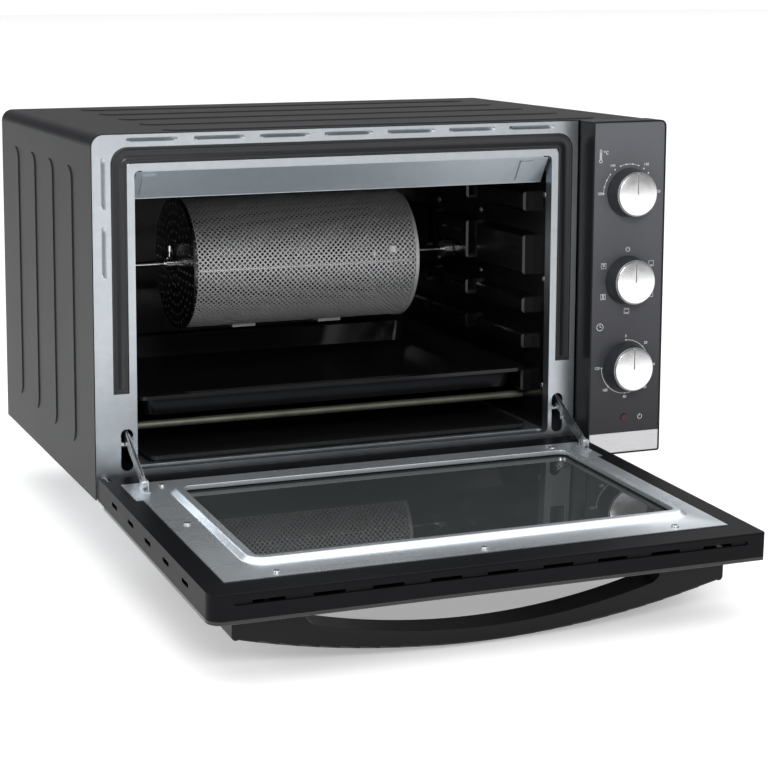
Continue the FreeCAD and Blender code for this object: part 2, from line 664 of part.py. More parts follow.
def panel_trim():
    low = BASE + PANEL_FLOOR + PANEL_WALL + 0.15
    return face_insert(low, BASE + PANEL_FLOOR + TRIM_HEIGHT - 0.2, [0.6, 1.0, 0.5, 0.5])


def lamp_height():
    return BASE + 42


def lamp_lens():
    z = lamp_height()
    lens = rod_y(PANEL_FACE - 0.8, PANEL_FACE + 8, PANEL_MIDDLE, z, LAMP_RADIUS)
    return soften(lens, 0.7, lambda edge: lies_on(edge, "y", PANEL_FACE - 0.8))


def lamp_holder():
    z = lamp_height()
    holder = rod_y(PANEL_FACE + 5.2, bracket_y(), PANEL_MIDDLE, z, LAMP_RADIUS + 2.2)
    return holder.cut(rod_y(PANEL_FACE + 4, PANEL_FACE + 8, PANEL_MIDDLE, z, LAMP_RADIUS))


def bracket_y():
    return PANEL_FACE + 15


def control_bracket():
    edge = PANEL_WALL + 1.5
    plate = box(PANEL_LEFT + edge, PANEL_RIGHT - edge, bracket_y(), bracket_y() + 1.2,
                BASE + PANEL_FLOOR + edge + 6, TOP - 20)
    return plate.cut([rod_y(bracket_y() - 1, bracket_y() + 2, PANEL_MIDDLE, z, 5) for z in KNOB_Z])


def control_body(z, width, height, depth):
    """Switch or timer on the bracket, with a bushing that its shaft turns in."""
    y = bracket_y() + 1.2
    case = panel_y(PANEL_MIDDLE - width / 2, PANEL_MIDDLE + width / 2, y, y + depth,
                   z - height / 2, z + height / 2, 4)
    bushing = rod_y(bracket_y() - 4, y + 1, PANEL_MIDDLE, z, 4.8)
    bore = rod_y(bracket_y() - 5, y + 10, PANEL_MIDDLE, z, SHAFT_RADIUS + RUNNING)
    return fuse([case, bushing]).cut(bore)


def control_shaft(z):
    return rod_y(PANEL_FACE - KNOB_LENGTH + 5, bracket_y() + 9, PANEL_MIDDLE, z, SHAFT_RADIUS)


def knob_skirt(z):
    back = PANEL_FACE + 0.4 - 0.5
    front = PANEL_FACE - KNOB_LENGTH + 1.5
    body = Part.makeCone(KNOB_RADIUS, CAP_RADIUS + 1.1, back - front, Vector(PANEL_MIDDLE, back, z),
                         Vector(0, -1, 0))
    body = bevel(body, 0.8, lambda edge: lies_on(edge, "y", front))
    hollow = rod_y(front + 6, back + 1, PANEL_MIDDLE, z, KNOB_RADIUS - 6)
    hub = rod_y(front + 5, back, PANEL_MIDDLE, z, SHAFT_RADIUS + 3)
    bore = rod_y(PANEL_FACE - KNOB_LENGTH + 5, back + 1, PANEL_MIDDLE, z, SHAFT_RADIUS)
    return fuse([body.cut(hollow), hub]).cut(bore)


def knob_cap(z):
    front = PANEL_FACE - KNOB_LENGTH
    cap = rod_y(front, front + 1.5, PANEL_MIDDLE, z, CAP_RADIUS)
    cap = soften(cap, 0.6, lambda edge: lies_on(edge, "y", front))
    pointer = box(PANEL_MIDDLE - 1.1, PANEL_MIDDLE + 1.1, front - 1, front + 0.5, z, z + CAP_RADIUS + 1)
    return cap.cut(pointer)


def terminal_block():
    gx, gz = gland_place()
    block = box(gx - 18, gx + 34, BACK - 70, BACK - 50, BASE + SHEET + 0.1, BASE + SHEET + 18)
    holes = [rod_z(BASE + 10, BASE + 20, gx - 10 + n * 12, BACK - 60, 3) for n in range(4)]
    return block.cut(holes)


# ---- trays ----
def dished_tray(x0, x1, y0, y1, rim_z, depth, flange, radius, wall):
    """Pressed tray: flat floor, sloping walls and a flat rim."""
    slope = depth * 0.35

    def bowl(grow, extra):
        top = outline_wire(x0 + flange - grow, x1 - flange + grow, y0 + flange - grow,
                           y1 - flange + grow, radius + grow, rim_z + extra)
        inset = flange + slope - grow
        bottom = outline_wire(x0 + inset, x1 - inset, y0 + inset, y1 - inset,
                              radius - 2 + grow, rim_z - depth + wall - grow)
        return Part.makeLoft([bottom, top], True, True)

    rim = panel_z(x0, x1, y0, y1, rim_z - wall, rim_z, radius + 4)
    lip = panel_z(x0, x1, y0, y1, rim_z - 3.5, rim_z, radius + 4)
    lip = lip.cut(panel_z(x0 + wall, x1 - wall, y0 + wall, y1 - wall, rim_z - 4, rim_z + 1, radius + 3))
    return fuse([rim, lip, bowl(wall, 0)]).cut(bowl(0, 0.5))


def tray_bounds():
    reach = PAD_DEPTH - TRAY_OVERLAP
    y0 = FRONT + TRAY_FRONT
    return WALL_LEFT + reach, WALL_RIGHT - reach, y0, y0 + TRAY_LENGTH


def baking_tray():
    x0, x1, y0, y1 = tray_bounds()
    return dished_tray(x0, x1, y0, y1, BASE + TRAY_RIM_HEIGHT, TRAY_DEPTH, TRAY_FLANGE, 10, 0.9)


def crumb_tray():
    rim = CAVITY_FLOOR + 0.3 + CRUMB_RIM
    y0 = FRONT + 15
    return dished_tray(OPEN_LEFT + 16, OPEN_RIGHT - 16, y0, y0 + CRUMB_LENGTH, rim, CRUMB_RIM, 3, 5, 0.8)


# ---- door, drawn shut ----
def door_y(depth):
    """Y of a plane that lies this deep in the door, from its inner face to its outer one."""
    return FRONT - DOOR_GAP - depth


def door_z(height):
    return DOOR_LOW + height


def opened(shape):
    shape = shape.copy()
    shape.rotate(PIVOT, X_AXIS, DOOR_OPEN_ANGLE)
    return shape


def door_frame():
    skin = DOOR_THICKNESS - DOOR_SKIN
    side_view = panel_x(DOOR_LEFT, DOOR_RIGHT, door_y(skin), door_y(0.4), door_z(0),
                        door_z(DOOR_HEIGHT), [0, 8, 1.5, 0])
    front_view = panel_y(DOOR_LEFT, DOOR_RIGHT, door_y(skin) - 1, door_y(0), door_z(0),
                         door_z(DOOR_HEIGHT), [1.5, 1.5, 1.5, DOOR_CORNER])
    body = side_view.common(front_view)
    x0, x1 = ring_edges(WINDOW_MARGIN)
    window = box(x0, x1, door_y(skin) - 1, door_y(0), door_z(49), door_z(293))
    w = DOOR_WALL
    channel = panel_y(DOOR_LEFT + w, DOOR_RIGHT - w, door_y(skin) - 1, door_y(0.4 + w), door_z(24),
                      door_z(DOOR_HEIGHT - w), [1, 1, 1, DOOR_CORNER - w])
    wall = box(x0 - w, x1 + w, door_y(skin) - 2, door_y(0), door_z(49 - w),
               door_z(293 + w))
    middle_channel = box(DOOR_LEFT + 30, DOOR_RIGHT - 30, door_y(skin) - 1, door_y(0.4 + w),
                         door_z(w), door_z(25))
    cuts = [window, channel.cut(wall), middle_channel.cut(wall)]
    cuts += door_vents() + lug_notches()
    cuts += [pin.copy() for pin in pivot_pins().Solids]
    return body.cut(cuts)


def door_vents():
    """Slots in both side walls and, in a long groove, along the top wall."""
    middle = door_y(10.5)
    cuts = []
    for n in range(5):
        z = door_z(61 + n * 53.6)
        for x0, x1 in ((DOOR_LEFT - 1, DOOR_LEFT + 6), (DOOR_RIGHT - 6, DOOR_RIGHT + 1)):
            cuts.append(panel_x(x0, x1, middle - 2, middle + 2, z - 9, z + 9, 1.99))
    top = door_z(DOOR_HEIGHT)
    middle = door_y(8.5)
    x0, x1 = DOOR_LEFT + 20, DOOR_RIGHT - 17
    cuts.append(panel_z(x0, x1, middle - 1.7, middle + 1.7, top - 1.5, top + 1, 1.69))
    count = 9
    pitch = (x1 - x0 - 8) / count
    for n in range(count):
        x = x0 + 4 + pitch * (n + 0.5)
        cuts.append(panel_z(x - 14, x + 14, middle - 1.5, middle + 1.5, top - 5, top, 1.49))
    return cuts


LUG_X = [(DOOR_LEFT + 6.5, DOOR_LEFT + 9.5), (DOOR_RIGHT - 12.5, DOOR_RIGHT - 9.5)]


def lug_notches():
    """Room around each cabinet lug for the door's whole swing."""
    notches = []
    for x0, x1 in LUG_X:
        reach = PIVOT_DEPTH + DOOR_GAP
        notches.append(rod_x(x0 - 1, x1 + 1, PIVOT.y, PIVOT.z, 8.2))
        notches.append(box(x0 - 1, x1 + 1, PIVOT.y - 7, PIVOT.y + reach, PIVOT.z - 12, PIVOT.z))
        notches.append(box(x0 - 1, x1 + 1, PIVOT.y, PIVOT.y + reach, PIVOT.z - 1, PIVOT.z + 7))
    return notches


def pivot_lugs():
    lugs = []
    for x0, x1 in LUG_X:
        eye = rod_x(x0, x1, PIVOT.y, PIVOT.z, 6)
        neck = box(x0, x1, PIVOT.y, FRONT, PIVOT.z - 5, PIVOT.z + 5)
        hole = rod_x(x0 - 1, x1 + 1, PIVOT.y, PIVOT.z, 2.9 + RUNNING)
        lugs.append(fuse([eye, neck]).cut(hole))
    return Part.makeCompound(lugs)


def pivot_pins():
    ends = [(LUG_X[0][0] - 4, LUG_X[0][1] + 10), (LUG_X[1][0] - 10, LUG_X[1][1] + 6)]
    return Part.makeCompound([rod_x(x0, x1, PIVOT.y, PIVOT.z, 2.9) for x0, x1 in ends])


def plate_edges():
    return DOOR_LEFT + PLATE_BORDER, DOOR_RIGHT - PLATE_BORDER


def ring_edges(grow):
    """Left and right foot of the raised ring, which is centred on the aperture."""
    return DOOR_LEFT + RING_LEFT - grow, DOOR_RIGHT - RING_RIGHT + grow


def ring_wires(grow, low, high):
    x0, x1 = ring_edges(0)
    base = outline_wire(x0 - grow, x1 + grow, door_z(RING_FOOT) - grow, door_z(RING_TOP) + grow,
                        20 + grow, low)
    s = RING_SLOPE - grow
    land = outline_wire(x0 + s, x1 - s, door_z(RING_FOOT) + s, door_z(RING_TOP) - s, 13 + grow, high)
    return [base, land]


def ring_opening(grow):
    x0, x1 = ring_edges(grow - RING_SLOPE - RING_LAND)
    low = RING_FOOT + RING_SLOPE + RING_LAND - grow
    high = RING_TOP - RING_SLOPE - RING_LAND + grow
    return panel_y(x0, x1, door_y(6), door_y(-RING_HEIGHT - 3),
                   door_z(low), door_z(high), 8 + grow)


def door_inner_plate():
    x0, x1 = plate_edges()
    top = DOOR_HEIGHT - PLATE_TOP_BORDER
    sheet = panel_y(x0, x1, door_y(0.35), door_y(-0.45), door_z(PLATE_FOOT), door_z(top), 1.5)
    tabs = panel_y(x0 - 6.5, x1 + 6.5, door_y(0.35), door_y(-0.45), door_z(PLATE_FOOT),
                   door_z(PLATE_FOOT + 52), [1, 1, 5, 5])

    def collar(grow, low, high):
        solid = Part.makeLoft(ring_wires(grow, low, high), True, True)
        solid.rotate(Vector(0, 0, 0), X_AXIS, 90)
        return solid.mirror(Vector(0, 0, 0), Vector(0, 1, 0))

    foot = door_y(0.35)
    ring = collar(0, foot, door_y(-RING_HEIGHT))
    hollow = collar(-SHEET, foot - 0.01, door_y(-RING_HEIGHT) - SHEET).cut(ring_opening(SHEET))
    return fuse([sheet, tabs, ring]).cut([ring_opening(0), hollow])


def door_inner_glass():
    x0, x1 = ring_edges(-1.5)
    return panel_y(x0, x1, door_y(0.5 + GLASS_THICKNESS), door_y(0.5),
                   door_z(RING_FOOT + 1.5), door_z(RING_TOP - 1.5), 6)


def door_outer_glass():
    skin = DOOR_THICKNESS - DOOR_SKIN + 0.1
    glass = panel_y(DOOR_LEFT, DOOR_RIGHT, door_y(DOOR_THICKNESS), door_y(skin), door_z(TRIM_HEIGHT),
                    door_z(DOOR_HEIGHT), [0.8, 0.8, 1.5, DOOR_CORNER])
    glass = bevel(glass, 0.4, lambda edge: lies_on(edge, "y", door_y(DOOR_THICKNESS)))
    return glass.cut([rod_y(door_y(27), door_y(20), x, handle_screw_z(), 2.3) for x in handle_screw_x()])


def door_trim():
    skin = DOOR_THICKNESS - DOOR_SKIN + 0.1
    trim = panel_y(DOOR_LEFT, DOOR_RIGHT, door_y(DOOR_THICKNESS), door_y(skin), door_z(0),
                   door_z(TRIM_HEIGHT - 0.3), [1.5, 1.5, 0.5, 0.5])
    return bevel(trim, 0.4, lambda edge: lies_on(edge, "y", door_y(DOOR_THICKNESS)))


def handle_screw_x():
    reach = (HANDLE_LENGTH + FINGER_GAP_LENGTH) / 4
    return [DOOR_MIDDLE - reach, DOOR_MIDDLE + reach]


def handle_screw_z():
    return door_z(HANDLE_FOOT + HANDLE_BAND / 2)


def door_handle():
    """Bowed bar between two end blocks, with the finger gap behind it."""
    face = door_y(DOOR_THICKNESS + 0.05)
    half = HANDLE_LENGTH / 2
    gap = FINGER_GAP_LENGTH / 2
    z = door_z(HANDLE_FOOT)

    def at(x, out):
        return Vector(DOOR_MIDDLE + x, face - out, z)

    shoulder = HANDLE_END - 4
    edges = [Part.LineSegment(at(-half, 0), at(-half, shoulder)).toShape(),
             Part.Arc(at(-half, shoulder), at(-half + 1.2, HANDLE_END - 1), at(-half + 4, HANDLE_END)).toShape(),
             Part.Arc(at(-half + 4, HANDLE_END), at(0, HANDLE_BOW), at(half - 4, HANDLE_END)).toShape(),
             Part.Arc(at(half - 4, HANDLE_END), at(half - 1.2, HANDLE_END - 1), at(half, shoulder)).toShape(),
             Part.LineSegment(at(half, shoulder), at(half, 0)).toShape(),
             Part.LineSegment(at(half, 0), at(gap + 5, 0)).toShape(),
             Part.Arc(at(gap + 5, 0), at(gap + 2.5, 11), at(gap - 4, FINGER_GAP_END)).toShape(),
             Part.Arc(at(gap - 4, FINGER_GAP_END), at(0, FINGER_GAP_DEPTH), at(-gap + 4, FINGER_GAP_END)).toShape(),
             Part.Arc(at(-gap + 4, FINGER_GAP_END), at(-gap - 2.5, 11), at(-gap - 5, 0)).toShape(),
             Part.LineSegment(at(-gap - 5, 0), at(-half, 0)).toShape()]
    bar = Part.Face(Part.Wire(edges)).extrude(Vector(0, 0, HANDLE_BAND))
    bores = [rod_y(door_y(42), door_y(20), x, handle_screw_z(), 2) for x in handle_screw_x()]

    def outer_rim(edge):
        flat = lies_on(edge, "z", z) or lies_on(edge, "z", z + HANDLE_BAND)
        return flat and edge.BoundBox.XLength > HANDLE_LENGTH * 0.8

    return soften(bar, 2.5, outer_rim).cut(bores)


def handle_screws():
    screws = []
    for x in handle_screw_x():
        z = handle_screw_z()
        inside = door_y(DOOR_THICKNESS - DOOR_SKIN + 0.1)
        screws.append(fuse([rod_y(door_y(41), inside, x, z, 2), rod_y(inside, inside + 3, x, z, 4.4)]))
    return Part.makeCompound(screws)


def plate_screw_places():
    left, right = DOOR_LEFT + 37, DOOR_RIGHT - 37
    places = [(left, 164)]
    places += [(DOOR_LEFT + x, 304) for x in (68, 253, 436)]
    places += [(left + 12, 47), (right - 12, 47)]
    return places


def plate_screws():
    screws = []
    for x, height in plate_screw_places():
        face = door_y(-0.45)
        head = rod_y(face, face + 1.6, x, door_z(height), 3.4)
        head = soften(head, 1.1, lambda edge: lies_on(edge, "y", face + 1.6))
        cross = [box(x - 1.8, x + 1.8, face + 0.8, face + 3, door_z(height) - 0.4, door_z(height) + 0.4),
                 box(x - 0.4, x + 0.4, face + 0.8, face + 3, door_z(height) - 1.8, door_z(height) + 1.8)]
        screws.append(head.cut(cross))
    return Part.makeCompound(screws)


def arm_pin():
    """Where the shut door carries the arms' pins."""
    return Vector(0, door_y(-ARM_PIN_PROUD), door_z(ARM_PIN_HEIGHT))


def hinge_brackets():
    pin = arm_pin()
    brackets = []
    for x in ARM_X:
        gap = ARM_WIDTH / 2 + FIT
        foot_y = door_y(-0.45)
        parts = [box(x - gap - 1, x + gap + 1, foot_y, foot_y + 0.9, pin.z - 11, pin.z + 11)]
        for x0 in (x - gap - 1, x + gap):
            ear = panel_x(x0, x0 + 1, foot_y, pin.y + 4, pin.z - 5, pin.z + 5, [0, 3, 3, 0])
            parts.append(ear)
        hole = rod_x(x - 5, x + 5, pin.y, pin.z, ARM_PIN_RADIUS)
        brackets.append(fuse(parts).cut(hole))
    return Part.makeCompound(brackets)


def hinge_pins():
    pin = arm_pin()
    half = ARM_WIDTH / 2 + FIT + 1.4
    return Part.makeCompound([rod_x(x - half, x + half, pin.y, pin.z, ARM_PIN_RADIUS) for x in ARM_X])


def arm_angle():
    """Slope of an arm from its pin up to the hinge slot, with the door open."""
    pin = opened(Part.Vertex(arm_pin())).Point
    return pin, math.degrees(math.atan2(BASE + ARM_SLOT_HEIGHT - pin.z, FRONT - pin.y))


def hinge_arm(x):
    h = ARM_HEIGHT / 2
    half = ARM_WIDTH / 2
    bar = panel_x(-half, half, -h, ARM_LENGTH, -h, h, h - 0.01)
    groove = box(-half + 0.9, half - 0.9, 6, ARM_LENGTH - 8, -h + 1.2, h + 1)
    hole = rod_x(-half - 1, half + 1, 0, 0, ARM_PIN_RADIUS + RUNNING)
    arm = bar.cut([groove, hole])
    pin, slope = arm_angle()
    arm.rotate(Vector(0, 0, 0), X_AXIS, slope)
    arm.translate(Vector(x, pin.y, pin.z))
    return arm


ROLLER_Y = FRONT + 6.0
ROLLER_Z = BASE + 50.2


def guide_brackets():
    parts = []
    for x in ARM_X:
        for x0 in (x - 6.2, x + 5.2):
            cheek = panel_x(x0, x0 + 1, FRONT + FRAME_SHEET, FRONT + 14, BASE + 38, BASE + 58, [0, 4, 4, 0])
            parts.append(cheek.cut(rod_x(x0 - 1, x0 + 3, ROLLER_Y, ROLLER_Z, 1.5)))
    return Part.makeCompound(parts)


def guide_rollers():
    rollers = []
    for x in ARM_X:
        drum = rod_x(x - 5, x + 5, ROLLER_Y, ROLLER_Z, 3)
        rollers.append(fuse([drum, rod_x(x - 6.6, x + 6.6, ROLLER_Y, ROLLER_Z, 1.5)]))
    return Part.makeCompound(rollers)


# ---- every piece ----
pieces = {
    "outer_shell": outer_shell(),
    "front_frame": front_frame(),
    "door_seal": door_seal(),
    "base_plate": base_plate(),
    "rear_cover": rear_cover(),
    "rear_screws": rear_screws(),
    "cable_gland": cable_gland(),
    "feet": feet(),
    "foot_pads": foot_pads(),
    "foot_screws": foot_screws(),
    "cavity_left_wall": cavity_left_wall().cut(heater_holes()),
    "cavity_right_wall": cavity_right_wall().cut(heater_holes()),
    "cavity_back": cavity_back(),
    "cavity_roof": cavity_roof(),
    "cavity_floor": cavity_floor(),
    "cavity_rivets": cavity_rivets(),
    "heat_deflector": heat_deflector(),
    "lower_heaters": heater_pair(BASE + HEATER_LOW),
    "upper_heaters": heater_pair(BASE + HEATER_HIGH),
    "heater_insulators": heater_insulators(),
    "heat_shield": heat_shield(),
    "terminal_block": terminal_block(),
    "control_housing": control_housing(),
    "control_fascia": control_fascia(),
    "panel_trim": panel_trim(),
    "lamp_lens": lamp_lens(),
    "lamp_holder": lamp_holder(),
    "control_bracket": control_bracket(),
    "thermostat": control_body(KNOB_Z[0], 42, 42, 24),
    "mode_switch": control_body(KNOB_Z[1], 46, 46, 28),
    "timer": control_body(KNOB_Z[2], 52, 52, 40),
    "rotisserie_motor": rotisserie_motor(),
    "drive_socket": drive_socket(),
    "spit_rod": spit_rod(),
    "spit_support": spit_support(),
    "spit_collars": spit_collars(),
    "thumb_screws": thumb_screws(),
    "drum_basket": drum_basket(),
    "drum_left_end": drum_end("left"),
    "drum_right_end": drum_end("right"),
    "drum_latches": drum_latches(),
    "baking_tray": baking_tray(),
    "crumb_tray": crumb_tray(),
    "pivot_lugs": pivot_lugs(),
    "guide_brackets": guide_brackets(),
    "guide_rollers": guide_rollers(),
    "left_hinge_arm": hinge_arm(ARM_X[0]),
    "right_hinge_arm": hinge_arm(ARM_X[1]),
    "door_frame": opened(door_frame()),
    "door_inner_plate": opened(door_inner_plate()),
    "door_inner_glass": opened(door_inner_glass()),
    "door_outer_glass": opened(door_outer_glass()),
    "door_trim": opened(door_trim()),
    "door_handle": opened(door_handle()),
    "door_hardware": opened(Part.makeCompound([handle_screws(), plate_screws()])),
    "hinge_brackets": opened(hinge_brackets()),
    "hinge_pins": opened(Part.makeCompound([hinge_pins(), pivot_pins()])),
}
for number, name in enumerate(("temperature", "mode", "timer")):
    z = KNOB_Z[number]
    pieces[name + "_knob"] = Part.makeCompound([knob_skirt(z), knob_cap(z), control_shaft(z)])

os.makedirs("parts", exist_ok=True)
for name, shape in pieces.items():
    assert shape.isValid(), name
    shape.exportStep("parts/" + name + ".step")
pin, slope = arm_angle()
print(len(pieces), "pieces; arm pin", round(pin.y, 2), round(pin.z, 2), "slope", round(slope, 2))
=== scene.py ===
# %% [markdown]
# # A countertop rotisserie oven with its door open
# The oven is a painted steel cabinet on tall feet, with a bright sheet-metal front, a black enamelled
# cavity, a turning drum of perforated sheet, a side panel with three knobs and a drop-down glass door.
# The imported model already holds every piece at its real size and place, so it is loaded first as a
# fixed frame. Nothing that is added may make the oven bigger.

# %% Load the frame
import json
import math

import bmesh
import bpy
from mathutils import Matrix, Vector


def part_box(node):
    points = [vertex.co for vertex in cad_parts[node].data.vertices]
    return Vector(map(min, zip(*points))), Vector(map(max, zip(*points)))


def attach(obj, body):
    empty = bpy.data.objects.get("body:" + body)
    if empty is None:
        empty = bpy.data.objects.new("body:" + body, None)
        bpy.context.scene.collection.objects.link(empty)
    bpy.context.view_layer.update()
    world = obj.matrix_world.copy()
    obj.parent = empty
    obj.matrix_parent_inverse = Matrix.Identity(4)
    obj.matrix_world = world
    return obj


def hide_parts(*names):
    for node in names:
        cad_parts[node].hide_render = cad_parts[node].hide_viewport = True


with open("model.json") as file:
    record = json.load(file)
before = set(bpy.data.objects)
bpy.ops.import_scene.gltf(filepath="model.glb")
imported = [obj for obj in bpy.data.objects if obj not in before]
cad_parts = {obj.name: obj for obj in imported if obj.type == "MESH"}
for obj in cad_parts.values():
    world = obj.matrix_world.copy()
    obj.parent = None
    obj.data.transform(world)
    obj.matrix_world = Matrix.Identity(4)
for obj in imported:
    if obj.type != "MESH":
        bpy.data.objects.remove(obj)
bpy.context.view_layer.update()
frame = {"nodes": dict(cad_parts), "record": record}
MM = 0.001

# %% [markdown]
# ## The camera
# The view is a long lens a little above the cabinet's top, well to the left of it. A camera is a
# place and three directions: right, up and back. Building its matrix from yaw, pitch and roll keeps
# those three readable. The shift moves the picture on the sensor instead of turning the camera, which
# keeps upright edges upright.

# %% Camera
YAW, PITCH, ROLL = 0.345092, 0.131446, -0.003282
CAMERA_PLACE = Vector((-0.7296, -1.8798, 0.5443))

ahead = Vector((math.sin(YAW) * math.cos(PITCH), math.cos(YAW) * math.cos(PITCH), -math.sin(PITCH)))
level = Vector((math.cos(YAW), -math.sin(YAW), 0))
upward = level.cross(ahead)
right = math.cos(ROLL) * level + math.sin(ROLL) * upward
upward = math.cos(ROLL) * upward - math.sin(ROLL) * level

camera_data = bpy.data.cameras.new("camera")
camera_data.lens = 88.70
camera_data.sensor_width = 36.0
camera_data.shift_x = 0.1535
camera_data.shift_y = -0.1907
camera_data.clip_end = 200.0
camera = bpy.data.objects.new("camera", camera_data)
bpy.context.scene.collection.objects.link(camera)
camera.matrix_world = Matrix.Translation(CAMERA_PLACE) @ Matrix((right, upward, -ahead)).transposed().to_4x4()
bpy.context.scene.camera = camera
print("camera looks along", [round(v, 3) for v in ahead])

# %% [markdown]
# ## Selecting before an operator
# Edit operators act on whatever is selected, and a freshly loaded frame is selected all over. These
# helpers deselect everything, make one object active, and select faces, edges or vertices by a rule
# about their place, so each later step reads like the same click made by hand.

# %% Selection helpers
def deselect_everything():
    if bpy.context.object and bpy.context.object.mode != "OBJECT":
        bpy.ops.object.mode_set(mode="OBJECT")
    bpy.ops.object.select_all(action="DESELECT")


def make_active(piece):
    deselect_everything()
    piece.select_set(True)
    bpy.context.view_layer.objects.active = piece


def open_mesh(piece):
    make_active(piece)
    bpy.ops.object.mode_set(mode="EDIT")


def close_mesh():
    bpy.ops.object.mode_set(mode="OBJECT")


def pick(kind, rule):
    """Selects the vertices, edges or faces of the open mesh that a rule says yes to."""
    bpy.ops.mesh.select_mode(type={"verts": "VERT", "edges": "EDGE", "faces": "FACE"}[kind])
    bpy.ops.mesh.select_all(action="DESELECT")
    mesh = bmesh.from_edit_mesh(bpy.context.object.data)
    chosen = 0
    for part in getattr(mesh, kind):
        part.select = bool(rule(part))
        chosen += part.select
    mesh.select_flush_mode()
    bmesh.update_edit_mesh(bpy.context.object.data)
    return chosen


def middle(part):
    """The middle of an edge or a face."""
    total = Vector()
    for vertex in part.verts:
        total += vertex.co
    return total / len(part.verts)


def add_modifier(piece, kind, **settings):
    make_active(piece)
    modifier = piece.modifiers.new(kind.lower(), kind)
    for key, value in settings.items():
        setattr(modifier, key, value)
    bpy.ops.object.modifier_apply(modifier=modifier.name)


def smooth(piece, degrees=35):
    make_active(piece)
    bpy.ops.object.shade_smooth_by_angle(angle=math.radians(degrees))


def apply_place(piece):
    make_active(piece)
    bpy.ops.object.transform_apply(location=True, rotation=True, scale=True)


def triangles(piece):
    return sum(len(face.vertices) - 2 for face in piece.data.polygons)


# %% [markdown]
# ## Drawing flat outlines and turned shapes
# Most new pieces start from two moves. A pressed sheet starts as a plane whose corners are beveled,
# and grows by insets that also rise. A knob starts as one vertex, which is extruded along a section
# and spun round its axis. Both are written once and used for every piece of that sort.

# %% Shape helpers
def plate_outline(name, x, y, z, width, height, corner=0.0, faces_back=False):
    """A flat upright face with round corners; it faces the front unless it is told to face the back."""
    deselect_everything()
    turn = math.radians(-90 if faces_back else 90)
    bpy.ops.mesh.primitive_plane_add(size=1, location=(x, y, z), rotation=(turn, 0, 0))
    piece = bpy.context.object
    piece.name = name
    piece.scale = (width, height, 1)
    apply_place(piece)
    if corner:
        open_mesh(piece)
        bpy.ops.mesh.select_all(action="SELECT")
        bpy.ops.mesh.bevel(affect="VERTICES", offset=corner, segments=8)
        close_mesh()
    return piece


def inset_steps(steps):
    """Insets the selected faces again and again: (how far in, how far out along their normal)."""
    for inward, out in steps:
        bpy.ops.mesh.inset(thickness=inward, depth=out, use_even_offset=True)


def turned(name, section, centre, steps=72):
    """Spins a section of (radius, distance in front of the centre) about the Y axis."""
    deselect_everything()
    bpy.ops.mesh.primitive_plane_add(size=MM, location=(0, 0, 0))
    piece = bpy.context.object
    piece.name = name
    open_mesh(piece)
    bpy.ops.mesh.select_mode(type="VERT")
    bpy.ops.mesh.select_all(action="SELECT")
    bpy.ops.mesh.merge(type="CENTER")
    points = [Vector((centre.x + r, centre.y - out, centre.z)) for r, out in section]
    bpy.ops.transform.translate(value=points[0])
    for before, after in zip(points, points[1:]):
        bpy.ops.mesh.extrude_vertices_move(TRANSFORM_OT_translate={"value": after - before})
    bpy.ops.mesh.select_all(action="SELECT")
    bpy.ops.mesh.spin(steps=steps, angle=math.tau, center=centre, axis=(0, 1, 0))
    bpy.ops.mesh.select_all(action="SELECT")
    bpy.ops.mesh.remove_doubles(threshold=0.00002)
    bpy.ops.mesh.normals_make_consistent(inside=False)
    close_mesh()
    return piece


def copied(piece, name, shift):
    """A copy with a mesh of its own, moved by its mesh so that the object stays at the origin."""
    twin = piece.copy()
    twin.data = piece.data.copy()
    twin.name = name
    bpy.context.scene.collection.objects.link(twin)
    twin.location = shift
    apply_place(twin)
    return twin


def joined(name, parts):
    deselect_everything()
    for part in parts:
        part.select_set(True)
    bpy.context.view_layer.objects.active = parts[0]
    bpy.ops.object.join()
    whole = bpy.context.object
    whole.name = name
    return whole


def fit(piece, finish, body, slot, *stands_for):
    """Gives a finished piece its material and its moving body, and hides the CAD nodes that it stands for."""
    piece.data.materials.clear()
    piece.data.materials.append(finish)
    apply_place(piece)
    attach(piece, body)
    if stands_for:
        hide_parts(*stands_for)
    print(piece.name, triangles(piece), "triangles")
    return piece


# %% [markdown]
# ## The door's two positions
# The door is easiest to draw shut, when its sheets are upright, and belongs in the scene open. The
# frame's joint gives the pivot and the angle, so one matrix turns a finished piece open, and its
# inverse tells where a CAD node lies when the door is shut.

# %% Door geometry
joints = {joint["name"]: joint for joint in frame["record"]["behaviour"]["joints"]}
pivot = Vector(joints["door_hinge"]["pos_m"])
open_angle = math.radians(joints["door_hinge"]["range_deg"][1])
to_open = Matrix.Translation(pivot) @ Matrix.Rotation(open_angle, 4, "X") @ Matrix.Translation(-pivot)
to_shut = to_open.inverted()


def shut_box(node):
    """Lowest and highest corner of a door node with the door shut."""
    places = [to_shut @ vertex.co for vertex in frame["nodes"][node].data.vertices]
    return (Vector([min(place[n] for place in places) for n in range(3)]),
            Vector([max(place[n] for place in places) for n in range(3)]))


def open_with_door(piece):
    piece.matrix_world = to_open @ piece.matrix_world
    apply_place(piece)


plate_low, plate_high = shut_box("door_inner_plate")
print("shut door plate", [round(v, 4) for v in plate_low], [round(v, 4) for v in plate_high])

# %% [markdown]
# ## Writing materials as sums
# Every finish is a small sum of noises: one moves the colour, one the roughness, one the bump. The
# Signal class wraps a socket, so that a plus or a times adds the Math node behind it. The Finish class
# owns one material and adds any other node. A value that is the same all over goes straight on the
# shader's socket.

